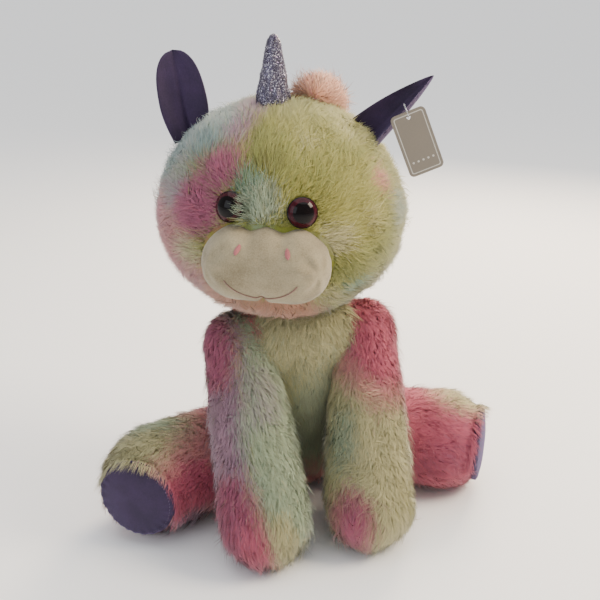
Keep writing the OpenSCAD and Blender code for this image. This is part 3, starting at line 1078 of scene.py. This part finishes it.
def tube(path, radius, sides=6):
    """A round thread along a path, closed at both ends and tapered to them."""
    path = np.asarray(path, dtype=float)
    count = len(path)
    way = unit(np.gradient(path, axis=0))
    side = unit(np.cross(way, np.array([0.31, 0.17, 0.94])))
    up = np.cross(way, side)
    turn = np.arange(sides) * 2 * math.pi / sides
    taper = np.ones(count)
    taper[0] = taper[-1] = 0.35
    ring = np.cos(turn)[None, :, None] * side[:, None] + np.sin(turn)[None, :, None] * up[:, None]
    verts = (path[:, None] + ring * (radius * taper)[:, None, None]).reshape(-1, 3)
    return verts, ring_faces(count, sides)


def lathe(profile, steps=64):
    """Verts and faces of a profile (radius, height) turned about +Z; ends at radius 0 are closed."""
    verts, faces, rings = [], [], []
    for radius, height in profile:
        if radius < 1e-6:
            rings.append([len(verts)])
            verts.append((0, 0, height))
        else:
            rings.append(list(range(len(verts), len(verts) + steps)))
            angles = [k * 2 * math.pi / steps for k in range(steps)]
            verts.extend((radius * math.cos(a), radius * math.sin(a), height) for a in angles)
    for low, high in zip(rings, rings[1:]):
        for k in range(steps):
            a, b = low[k % len(low)], low[(k + 1) % len(low)]
            c, d = high[(k + 1) % len(high)], high[k % len(high)]
            faces.append(tuple(dict.fromkeys((a, b, c, d))))
    return np.array(verts), faces


def aimed(verts, place, out):
    """Verts built along +Z turned to face out from a place, in the row frame."""
    turn = np.array(Vector(out).to_track_quat("Z", "Y").to_matrix())
    return verts @ turn.T + np.array(place)


def gloss_plastic(name, colour, inner, rough=0.08, streaks=160, shine=0.5, coat=0.35):
    """Moulded gloss plastic; inner is a second tone in fine flecks."""
    material, tree, principled = shader(name, {
        "Roughness": rough, "Specular IOR Level": shine, "Coat Weight": coat, "Coat Roughness": 0.03})
    fleck = object_noise(tree, streaks, 5, 0.65)
    toned(tree, fleck.outputs["Fac"], [(0.35, colour), (0.65, inner)], principled.inputs["Base Color"])
    scuff = object_noise(tree, 900, 2)
    bump(tree, principled, [(scuff, 0.02, 0.05 * MM)])
    return material


def satin_thread(name, dark, light):
    material, tree, principled = shader(name, {"Roughness": 0.45, "Sheen Weight": 0.3})
    twist = object_noise(tree, 2600, 2)
    toned(tree, twist.outputs["Fac"], [(0.3, dark), (0.7, light)], principled.inputs["Base Color"])
    bump(tree, principled, [(twist, 0.4, 0.1 * MM)])
    return material


# Lame seen in the cells of its weave, from the dark ground to the rare bright flake
LAME_TONES = [(0.0, (0.04, 0.032, 0.06)), (0.55, (0.085, 0.072, 0.11)), (0.85, (0.17, 0.155, 0.21)),
              (0.97, (0.65, 0.62, 0.72))]


def glitter(name):
    """Woven lame with metallic flakes scattered in it: each cell has its own tint and polish."""
    material, tree, principled = shader(name, {})
    place = tree.nodes.new("ShaderNodeTexCoord")
    cells = node(tree, "ShaderNodeTexVoronoi", scale=1500)
    tree.links.new(place.outputs["Object"], cells.inputs["Vector"])
    split = tree.nodes.new("ShaderNodeSeparateColor")
    tree.links.new(cells.outputs["Color"], split.inputs["Color"])
    metal = [(0.45, (0.1, 0.1, 0.1)), (0.7, (0.9, 0.9, 0.9))]
    polish = [(0.0, (0.6, 0.6, 0.6)), (1.0, (0.22, 0.22, 0.22))]
    toned(tree, split.outputs["Red"], LAME_TONES, principled.inputs["Base Color"])
    toned(tree, split.outputs["Green"], metal, principled.inputs["Metallic"])
    toned(tree, split.outputs["Green"], polish, principled.inputs["Roughness"])
    tilt = node(tree, "ShaderNodeBump", strength=0.9, distance=0.35 * MM)
    tree.links.new(split.outputs["Blue"], tilt.inputs["Height"])
    tree.links.new(tilt.outputs["Normal"], principled.inputs["Normal"])
    return material


def card_stock(name, colour):
    material, tree, principled = shader(name, {"Roughness": 0.42, "Coat Weight": 0.25})
    fibre = object_noise(tree, 700, 4, 0.6)
    tones = [(0.3, tuple(c * 0.93 for c in colour)), (0.7, colour)]
    toned(tree, fibre.outputs["Fac"], tones, principled.inputs["Base Color"])
    bump(tree, principled, [(fibre, 0.12, 0.08 * MM)])
    return material


def make_eye(side_name, materials):
    """A domed safety eye: thin black rim, dark red iris, wide black pupil, and the ribbed shank behind."""
    side = SIDES[side_name]
    ball, dome = 15 * MM, 7 * MM
    cap = []
    for t in np.linspace(0, 1, 22):
        radius = EYE_R * math.sin(t * math.pi / 2)
        cap.append((radius, dome - ball + math.sqrt(max(ball ** 2 - radius ** 2, 0))))
    cap.append((EYE_R, cap[-1][1] - 0.8 * MM))
    verts, faces = lathe(cap)
    pupil, iris = 8.0 * MM, 11.3 * MM
    groups = {"pupil": [], "iris": [], "rim": []}
    for face in faces:
        reach = np.mean([math.hypot(*verts[i][:2]) for i in face])
        groups["pupil" if reach < pupil else "iris" if reach < iris else "rim"].append(face)
    axis = np.array(eye_axis(side))
    place = from_head(axis * EYE_REACH)[0]
    out = axis @ SPIN.T
    cap_at = aimed(verts, place, out)
    parts = [(cap_at, groups[k], materials[k]) for k in groups]
    low = cap[-1][1]
    rib, stem = 2.5 * MM, 2.15 * MM
    shank = [(EYE_R, low), (rib, low - 0.6 * MM)]
    for step in range(8):
        height = low - (1.6 + step * 1.7) * MM
        shank += [(rib, height), (stem, height - 0.8 * MM)]
    shank.append((0, shank[-1][1]))
    back, back_faces = lathe(shank, 32)
    parts.append((aimed(back, place, out), back_faces, materials["rim"]))
    ob = joined(f"eye_{side_name}_dome", parts)
    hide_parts(f"eye_{side_name}")
    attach(ob, "head")


def on_muzzle(tree, across, up):
    """The point of the muzzle's front at a place in the face's plane, and its normal."""
    start = from_head(np.array([across + LOBE_MIDDLE, -200 * MM, up]))[0]
    way = np.array([0, 1, 0]) @ SPIN.T
    hit, normal, _, _ = tree.ray_cast(Vector(start), Vector(way))
    return np.array(hit), np.array(normal)


NOSTRIL_STITCHES = 20
MOUTH_STITCHES = 100
SOLE_STITCHES = 72
THREAD_R = 0.3 * MM


def make_nostrils(skin_tree, material):
    """Two slanting ovals of satin stitches that lie side by side."""
    parts = []
    for side in (-1, 1):
        for k in range(NOSTRIL_STITCHES):
            share = (k / (NOSTRIL_STITCHES - 1) - 0.5) * 2
            half_wide = 2.3 * MM * math.sqrt(max(0.08, 1 - share ** 2)) * rng.uniform(0.92, 1.06)
            slant = math.radians(-16) * side
            path = []
            for t in np.linspace(-1, 1, 7):
                x = t * half_wide
                z = share * 3.4 * MM + x * 0.25
                across = side * 19 * MM + x * math.cos(slant) + z * math.sin(slant)
                up = -7 * MM + z * math.cos(slant)
                hit, normal = on_muzzle(skin_tree, across, up)
                path.append(hit + normal * (0.25 + 0.55 * (1 - t * t)) * MM)
            parts.append((*tube(path, THREAD_R), material))
    ob = joined("nostril_threads", parts)
    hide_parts("nostril_stitching")
    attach(ob, "head")


def make_mouth(skin_tree, material):
    """A smile of slanting satin stitches, each crossing the line of the mouth."""
    parts = []
    radius, centre = 33 * MM, -14 * MM
    spread = math.radians(57)
    for k in range(MOUTH_STITCHES):
        angle = -spread + 2 * spread * k / (MOUTH_STITCHES - 1)
        path = []
        for t in np.linspace(-1, 1, 5):
            reach = radius + t * 0.6 * MM
            lean = angle + t * 0.018
            drop = reach * math.cos(lean) * 0.92
            hit, normal = on_muzzle(skin_tree, reach * math.sin(lean), centre - drop)
            path.append(hit + normal * (0.15 + 0.4 * (1 - t * t)) * MM)
        parts.append((*tube(path, THREAD_R), material))
    ob = joined("mouth_threads", parts)
    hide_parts("mouth_stitching")
    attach(ob, "head")


HORN_LENGTH = 52 * MM
HORN_R = 14 * MM
HORN_TIP_R = 4 * MM
HORN_SUNK = 9 * MM


def make_horn(material, flakes):
    """A glitter cone, gathered into puckers at its root, with a blunt bent tip."""
    root = to_head(np.array(pivot("horn_lean")))[0]
    rows, steps = 56, 96
    verts = []
    for r in range(rows):
        t = r / (rows - 1)
        height = t * (HORN_LENGTH + HORN_SUNK) - HORN_SUNK
        share = max(0, height / HORN_LENGTH)
        base = HORN_R * (1 - share) ** 0.9 + HORN_TIP_R * share
        if share > 0.93:
            base = HORN_TIP_R * math.sqrt(max(0.0, 1 - ((share - 0.93) / 0.07) ** 2)) * 0.98
        gather = math.exp(-((share - 0.12) / 0.2) ** 2)
        for k in range(steps):
            angle = k * 2 * math.pi / steps
            ripple = math.sin(angle * 11 + 2 * math.sin(share * 9)) * 0.75 * MM * gather
            ripple += math.sin(angle * 5 + share * 14) * 0.35 * MM * (1 - share)
            seam = -0.9 * MM * math.exp(-((math.sin((angle - 2.4) / 2)) / 0.06) ** 2)
            ring = 0.35 * MM * math.sin(height / (2.6 * MM)) * math.exp(-((share - 0.25) / 0.3) ** 2)
            radius = max(0.1 * MM, base + ripple + seam + ring)
            bend = np.array([-1, -4]) * MM * share ** 1.4
            verts.append((radius * math.cos(angle) + bend[0], radius * math.sin(angle) + bend[1], height))
    ob = object_from("horn_cloth", from_head(np.array(verts) + root), ring_faces(rows, steps))
    ob.data.materials.append(material)
    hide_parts("horn_cover", "horn_stuffing")
    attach(ob, "horn")
    place, normal = scatter(ob, 0.3e6, lambda p, n: p[:, 2] > pivot("horn_lean").z + 1 * MM)
    parts = []
    for at, out in zip(place, normal):
        tilt = unit(out + rng.normal(0, 0.35, 3))
        side = unit(np.cross(tilt, rng.normal(0, 1, 3)))
        up = np.cross(tilt, side)
        size = rng.uniform(0.25, 0.5) * MM
        corner = at + out * 0.25 * MM
        quad = [corner + side * size, corner + up * size, corner - side * size, corner - up * size]
        parts.append((quad, [(0, 1, 2, 3)], flakes[int(rng.integers(len(flakes)))]))
    sparkle = joined("horn_flakes", parts, smooth=False)
    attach(sparkle, "horn")


def leaf(width, length, thick, cup, roll, fold_depth, outline, rows=44, cols=40):
    """A stuffed leaf with a rounded tip, built upwards from its seam.

    cup bends its edges forward, roll curls it lengthwise and fold_depth presses in the middle crease.
    outline is the width at the root as a share of the full width, and the two powers that shape the tip.
    """
    root_share, fullness, taper = outline
    front, back = [], []
    for r in range(rows + 1):
        s = r / rows
        flare = root_share + (1 - root_share) * math.sin(math.pi / 2 * min(1, s / 0.45))
        wide = width / 2 * flare * (1 - s ** fullness) ** taper
        for c in range(cols + 1):
            t = c / cols * 2 - 1
            curl = roll * t
            if abs(roll) > 1e-6:
                x = wide * math.sin(curl) / roll
                bow = wide * (1 - math.cos(curl)) / roll
            else:
                x, bow = wide * t, 0
            bow += cup * t * t * wide
            body = thick / 2 * math.sqrt(max(0, 1 - t ** 4)) * math.sqrt(max(0.0, 1 - s ** 6))
            body *= 1 - 0.25 * s
            crease = fold_depth * math.exp(-(t / 0.1) ** 2) * (1 - s) ** 0.5
            wave = 0.6 * MM * math.sin(t * 5 + s * 7)
            z = s * length
            front.append((x, -body - bow + crease + wave, z))
            back.append((x, body - bow + wave, z))
    width_count = cols + 1
    faces = []
    for r in range(rows):
        for c in range(cols):
            a = r * width_count + c
            faces.append((a, a + 1, a + 1 + width_count, a + width_count))
            b = a + len(front)
            faces.append((b, b + width_count, b + 1 + width_count, b + 1))
    return np.array(front + back), faces


def make_ear(side_name, material, lean, curl, cup, fold_depth, twist, width, outline):
    root = to_head(np.array(pivot(f"ear_{side_name}_fold")))[0]
    verts, faces = leaf(width, 75 * MM, 9 * MM, cup, curl, fold_depth, outline)
    verts[:, 2] -= 13 * MM
    turn = Matrix.Rotation(math.radians(lean), 3, "Y") @ Matrix.Rotation(math.radians(twist), 3, "Z")
    verts = verts @ np.array(turn).T
    ob = object_from(f"ear_{side_name}_velour", from_head(verts + root), faces)
    weld = ob.modifiers.new("weld", "WELD")
    weld.merge_threshold = 0.05 * MM
    apply_modifiers(ob)
    ob.data.materials.append(material)
    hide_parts(f"ear_{side_name}")
    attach(ob, f"ear_{side_name}")


def make_sole(side_name, material, thread):
    """A crowned velour disc, puckered where it is gathered into the foot's seam."""
    centre, out = sole_plane(side_name)
    radius = SOLE_R
    rows, steps = 22, 120
    verts, faces = [(0, 0, 4.2 * MM)], []
    for r in range(1, rows + 1):
        t = r / rows
        for k in range(steps):
            angle = k * 2 * math.pi / steps
            pucker = math.sin(angle * 26 + 1.7 * math.sin(angle * 3)) * 0.7 * MM
            pucker *= max(0, (t - 0.7) / 0.3) ** 2
            soft = math.sin(angle * 3 + 1) * 0.6 * MM * t
            height = 4.2 * MM * (1 - t ** 2.6) + pucker + soft * 0.4 - 1.2 * MM * max(0, (t - 0.93) / 0.07)
            verts.append((radius * t * math.cos(angle), radius * t * math.sin(angle), height))
    for k in range(steps):
        faces.append((0, 1 + k, 1 + (k + 1) % steps))
        for r in range(rows - 1):
            a = 1 + r * steps
            faces.append((a + k, a + steps + k, a + steps + (k + 1) % steps, a + (k + 1) % steps))
    rim = list(range(1 + (rows - 1) * steps, 1 + rows * steps))
    verts = np.array(verts)
    base = len(verts)
    inner = verts[rim] - np.array([0, 0, 3 * MM])
    verts = np.vstack([verts, inner])
    for k in range(steps):
        faces.append((rim[k], base + k, base + (k + 1) % steps, rim[(k + 1) % steps]))
    faces.append(tuple(base + k for k in range(steps))[::-1])
    parts = [(aimed(verts, centre, out), faces, material)]
    for k in range(SOLE_STITCHES):
        angle = k * 2 * math.pi / SOLE_STITCHES
        path = []
        for t in np.linspace(-1, 1, 4):
            reach = radius - 2.6 * MM + t * 0.3 * MM
            lift = 0.9 * MM - abs(t) * 0.5 * MM
            step = angle + t * 0.026
            path.append((reach * math.cos(step), reach * math.sin(step), lift + 0.3 * MM))
        thread_verts, thread_faces = tube(path, THREAD_R)
        parts.append((aimed(thread_verts, centre, out), thread_faces, thread))
    ob = joined(f"sole_{side_name}_velour", parts)
    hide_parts(f"sole_{side_name}")
    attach(ob, f"rear_leg_{side_name}")


def dress_node(name, material):
    """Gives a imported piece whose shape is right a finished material."""
    ob = frame["nodes"][name]
    ob.data.materials.clear()
    ob.data.materials.append(material)


# ---------------------------------------------------------------- tufts, tag and hidden pieces

def head_stations(path):
    """Stations given in millimetres in the head's frame, put in the row frame in metres."""
    return [(*from_head(np.array(p[:3]) * MM)[0], p[3] * MM) for p in path]


def make_mane(backing):
    """Long fluffy pile on a narrow strip from behind the horn down to the nape."""
    path = head_stations([(20, 12, 95, 8), (26, 40, 86, 13), (18, 74, 60, 13), (8, 94, 20, 11),
                          (4, 95, -20, 9), (2, 82, -50, 7)])
    skin = blob("mane_strip", path, voxel=3 * MM, smooth=6)
    mane_dye = tuft_dye("mane")
    finish_skin(skin, "head", backing, ["mane"], mane_dye)

    def comb(p, n):
        return n * 0.5 + np.array([0.1, 0.35, 0.1])

    def keep(p, n):
        local = to_head(p) / np.array(HEAD_HALF)
        return np.linalg.norm(local, axis=1) > 0.97

    fur("mane_pile", skin, "head", mane_dye, comb, even(18 * MM), density=1.0e6,
        width=0.7 * MM, lift=0.6, gather=0.5, clump=30, keep=keep, curl=0.5, slot="peach_plush")
    fur("mane_locks", skin, "head", mane_dye, comb, even(25 * MM), density=0.3e6,
        width=0.6 * MM, lift=0.6, gather=0.85, clump=24, keep=keep, curl=0.8, slot="peach_plush", swirl=0.7)


def make_tail(backing):
    """A tuft that falls from its root behind the seat."""
    root = pivot("tail_lift")
    path = [(root.x, root.y + 3 * MM, root.z - 2 * MM, 8 * MM), (2 * MM, 97 * MM, 45 * MM, 14 * MM),
            (4 * MM, 113 * MM, 29 * MM, 10 * MM), (6 * MM, 121 * MM, 16 * MM, 5 * MM)]
    skin = blob("tail_core", path, voxel=3 * MM, smooth=5)
    tail_dye = tuft_dye("tail")
    finish_skin(skin, "tail", backing, ["tail"], tail_dye)

    def comb(p, n):
        return n * 0.2 + np.array([0.02, 0.35, -0.75])

    fur("tail_pile", skin, "tail", tail_dye, comb, even(15 * MM), density=1.1e6, width=0.7 * MM,
        lift=0.55, gather=0.5, clump=24, curl=0.4, slot="peach_plush")
    fur("tail_locks", skin, "tail", tail_dye, comb, even(20 * MM), density=0.4e6, width=0.6 * MM,
        lift=0.6, gather=0.85, clump=20, curl=0.7, slot="peach_plush", swirl=0.7)


def make_neck(backing):
    """The gathered ring of plush at the neck seam, folded into soft pleats."""
    rows, steps = 12, 90
    verts, faces = [], []
    for radius, pleat in ((49.2 * MM, 0.9 * MM), (47 * MM, 0)):
        for r in range(rows + 1):
            lean = math.radians(34 + 16 * r / rows)
            for k in range(steps):
                angle = k * 2 * math.pi / steps
                reach = radius - (math.sin(angle * 24) * 0.5 + 0.5) * pleat
                out = reach * math.sin(lean)
                verts.append((NECK.x + out * math.cos(angle), NECK.y + out * math.sin(angle),
                              NECK.z + reach * math.cos(lean)))
    under = (rows + 1) * steps
    for r in range(rows):
        for k in range(steps):
            a, b = r * steps + k, r * steps + (k + 1) % steps
            faces.append((a, a + steps, b + steps, b))
            faces.append((under + a, under + b, under + b + steps, under + a + steps))
    for ring in (0, rows):
        for k in range(steps):
            a, b = ring * steps + k, ring * steps + (k + 1) % steps
            quad = (a, b, under + b, under + a)
            faces.append(quad if ring == 0 else quad[::-1])
    ob = object_from("neck_pleats", verts, faces)
    neck_dye = box_dye("neck_collar", TORSO_DYE, "rose")
    finish_skin(ob, "neck", backing, ["neck_collar"], neck_dye)


def make_pouch(material):
    """The pellet pouch inside the seat, lumpy with its pellets."""
    low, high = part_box("seat_bean_bag")
    verts, faces = icosphere(5)
    half = (np.array(high) - np.array(low)) / 2 * 0.94
    lumps = 1 + 0.018 * np.sin(verts[:, :1] * 31) * np.sin(verts[:, 1:2] * 29) * np.sin(verts[:, 2:] * 23)
    pinch = 1 - 0.22 * np.exp(-((verts[:, :1]) / 0.4) ** 2) * (verts[:, 1:2] < 0)
    points = verts * half * lumps * np.hstack([pinch * 0.55, np.ones_like(pinch), np.ones_like(pinch)])
    ob = object_from("pellet_pouch", points + np.array((low + high) / 2), faces)
    finish_skin(ob, "torso", material, ["seat_bean_bag"])


def make_tag(card, ink):
    """A plain card with rounded corners and a punched hole, printed with a thin border and a row of dots."""
    hole = pivot("tag_swing")
    turn = Matrix.Rotation(math.radians(-15), 3, "Z") @ Matrix.Rotation(math.radians(-22), 3, "Y")
    wide, tall, corner, thick = 29 * MM, 52 * MM, 4 * MM, 0.8 * MM
    top = 5 * MM

    def outline(inset, count=8):
        half, radius = wide / 2 - inset, corner - min(inset, 2.5 * MM)
        points = []
        right, upper, lower = half - radius, top - inset - radius, top - tall + inset + radius
        corners = [(right, upper, 0), (-right, upper, 90), (-right, lower, 180), (right, lower, 270)]
        for cx, cz, start in corners:
            for k in range(count):
                angle = math.radians(start + 90 * k / (count - 1))
                points.append((cx + radius * math.cos(angle), cz + radius * math.sin(angle)))
        return points

    def bridge(outer, inner, y, flip):
        """Faces between an outer loop and an inner loop of the same number of points at one depth."""
        verts = [(x, y, z) for x, z in outer] + [(x, y, z) for x, z in inner]
        n = len(outer)
        faces = [(k, (k + 1) % n, n + (k + 1) % n, n + k) for k in range(n)]
        return verts, [f[::-1] for f in faces] if flip else faces

    outer = outline(0)
    count = len(outer)
    hole_r, dot_r = 1.8 * MM, 0.9 * MM
    ring = []
    for x, z in outer:
        angle = math.atan2(z, x)
        ring.append((hole_r * math.cos(angle), hole_r * math.sin(angle)))
    parts = []
    for y, flip in ((-thick / 2, False), (thick / 2, True)):
        parts.append((*bridge(outer, ring, y, flip), card))
    for loop, flip in ((outer, True), (ring, False)):
        verts = [(x, y, z) for y in (-thick / 2, thick / 2) for x, z in loop]
        faces = [(k, (k + 1) % count, count + (k + 1) % count, count + k) for k in range(count)]
        parts.append((verts, [f[::-1] for f in faces] if flip else faces, card))
    for y, flip in ((-thick / 2 - 0.05 * MM, False), (thick / 2 + 0.05 * MM, True)):
        parts.append((*bridge(outline(2.2 * MM), outline(2.9 * MM), y, flip), ink))
        for k in range(5):
            x = (k - 2) * 4.2 * MM
            dot = [(x + dot_r * math.cos(a), y, dot_r * math.sin(a) - 36 * MM)
                   for a in np.arange(16) * 2 * math.pi / 16]
            parts.append((dot, [tuple(range(16))[::-1] if flip else tuple(range(16))], ink))
    spin = np.array(turn)
    parts = [(np.array(v) @ spin.T + np.array(hole), f, m) for v, f, m in parts]
    ob = joined("hang_tag_card", parts, smooth=False)
    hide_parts("hang_tag")
    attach(ob, "hang_tag")


# ---------------------------------------------------------------- assembly

def build():
    backing = skin_cloth("knitted_backing")
    purple = velour("purple_velour", (0.009, 0.004, 0.017), (0.042, 0.020, 0.070), sheen=0.4,
                    sheen_tint=(0.5, 0.4, 0.8))
    cream = velour("cream_velour", (0.15, 0.115, 0.06), (0.41, 0.35, 0.22), sheen=0.25)
    seat = velour("seat_velour", (0.45, 0.20, 0.24), (0.62, 0.34, 0.36))
    pouch = velour("pouch_cloth", (0.58, 0.58, 0.54), (0.72, 0.72, 0.68), nap=1600, sheen=0.1)
    pink = satin_thread("pink_thread", (0.32, 0.08, 0.09), (0.48, 0.15, 0.15))
    dusty = satin_thread("dusty_thread", (0.17, 0.08, 0.06), (0.27, 0.14, 0.10))
    purple_thread = satin_thread("purple_thread", (0.03, 0.015, 0.06), (0.10, 0.06, 0.17))
    dim = {"shine": 0.16, "coat": 0.0, "rough": 0.06}
    eyes = {
        "pupil": gloss_plastic("eye_pupil", (0.002, 0.001, 0.001), (0.004, 0.002, 0.002), **dim),
        "iris": gloss_plastic("eye_iris", (0.020, 0.002, 0.005), (0.052, 0.005, 0.010), streaks=420, **dim),
        "rim": gloss_plastic("eye_rim", (0.005, 0.003, 0.004), (0.010, 0.006, 0.007), **dim),
    }
    nylon = gloss_plastic("clear_nylon", (0.80, 0.82, 0.84), (0.88, 0.90, 0.92), rough=0.12)
    nylon.node_tree.nodes["Principled BSDF"].inputs["Transmission Weight"].default_value = 0.7
    washer = gloss_plastic("washer_plastic", (0.74, 0.70, 0.60), (0.80, 0.77, 0.68), rough=0.4)
    lame = glitter("glitter_lame")
    card = card_stock("taupe_card", (0.19, 0.16, 0.12))
    ink = card_stock("pale_ink", (0.55, 0.52, 0.46))

    skin = head_skin()
    finish_skin(skin, "head", backing, ["head_cover", "head_stuffing"], head_dye)
    plush("head", skin, "head", head_dye, face_comb, head_length, head_keep)
    fur("brow_tuft", skin, "head", head_dye, brow_comb, even(14 * MM), density=0.9e6, width=0.5 * MM,
        lift=0.8, gather=0.6, clump=14, keep=brow_keep)

    body, bib = torso_skin()
    torso_dye = box_dye("torso_cover", TORSO_DYE, "rose")
    bib_dye = box_dye("torso_cover", BIB_DYE, "milk")
    finish_skin(body, "torso", backing, ["torso_cover", "torso_stuffing"], torso_dye)
    finish_skin(bib, "torso", backing, ["belly_panel"], bib_dye)
    down = combed((0, -0.15, -1))
    plush("torso", body, "torso", torso_dye, down, even(13 * MM), torso_keep)
    plush("belly", bib, "torso", bib_dye, down, even(16 * MM), torso_keep, "pale_plush", locks=0.8)

    for side in SIDES:
        for end, skin_of, root, tip, sag in (("front", front_leg_skin, shoulder, paw, 0.3),
                                             ("rear", rear_leg_skin, hip, foot, 0.5)):
            name = f"{end}_leg_{side}"
            dye = box_dye(f"{name}_cover", *LEG_DYES[name])
            leg = skin_of(side)
            finish_skin(leg, name, backing, [f"{name}_cover", f"{name}_stuffing"], dye)
            way = np.array(tip(side)[:3]) - np.array(root(side)[:3])
            length, keep = (leg_length, leg_keep) if end == "front" else (foot_length(side), foot_keep(side))
            plush(name, leg, name, dye, combed(way, sag), length, keep)
            if end == "rear":
                fur(f"{name}_rim", leg, name, dye, rim_comb(side), even(18 * MM), density=1.2e6,
                    width=0.6 * MM, lift=0.45, gather=0.5, clump=16, keep=rim_keep(side))
        make_sole(side, purple, purple_thread)
        make_eye(side, eyes)

    muzzle = muzzle_skin()
    finish_skin(muzzle, "head", cream, ["muzzle_cover", "muzzle_stuffing"])
    tree = BVHTree.FromPolygons([v.co for v in muzzle.data.vertices],
                                [p.vertices[:] for p in muzzle.data.polygons])
    make_nostrils(tree, pink)
    make_mouth(tree, dusty)

    flakes = []
    for name, colour in (("silver", (0.45, 0.44, 0.50)), ("lilac", (0.16, 0.13, 0.24)),
                         ("smoke", (0.08, 0.07, 0.11))):
        flake, _, _ = shader(f"flake_{name}", {
            "Base Color": (*colour, 1), "Metallic": 1.0, "Roughness": 0.22})
        flakes.append(flake)
    make_horn(lame, flakes)
    make_ear("left", purple, -13, 0.7, 0.06, 3.0 * MM, 14, 44 * MM, (0.72, 5, 0.5))
    make_ear("right", purple, 42, 1.7, 0.0, 1.0 * MM, -30, 52 * MM, (1.0, 1.25, 0.8))
    make_mane(backing)
    make_tail(backing)
    make_neck(backing)
    make_pouch(pouch)
    make_tag(card, ink)
    dress_node("tag_loop", nylon)
    dress_node("seat_panel", seat)
    for side in SIDES:
        dress_node(f"eye_washer_{side}", washer)
    dye_all_fur()


make_camera()
make_floor()
make_lights()
build()
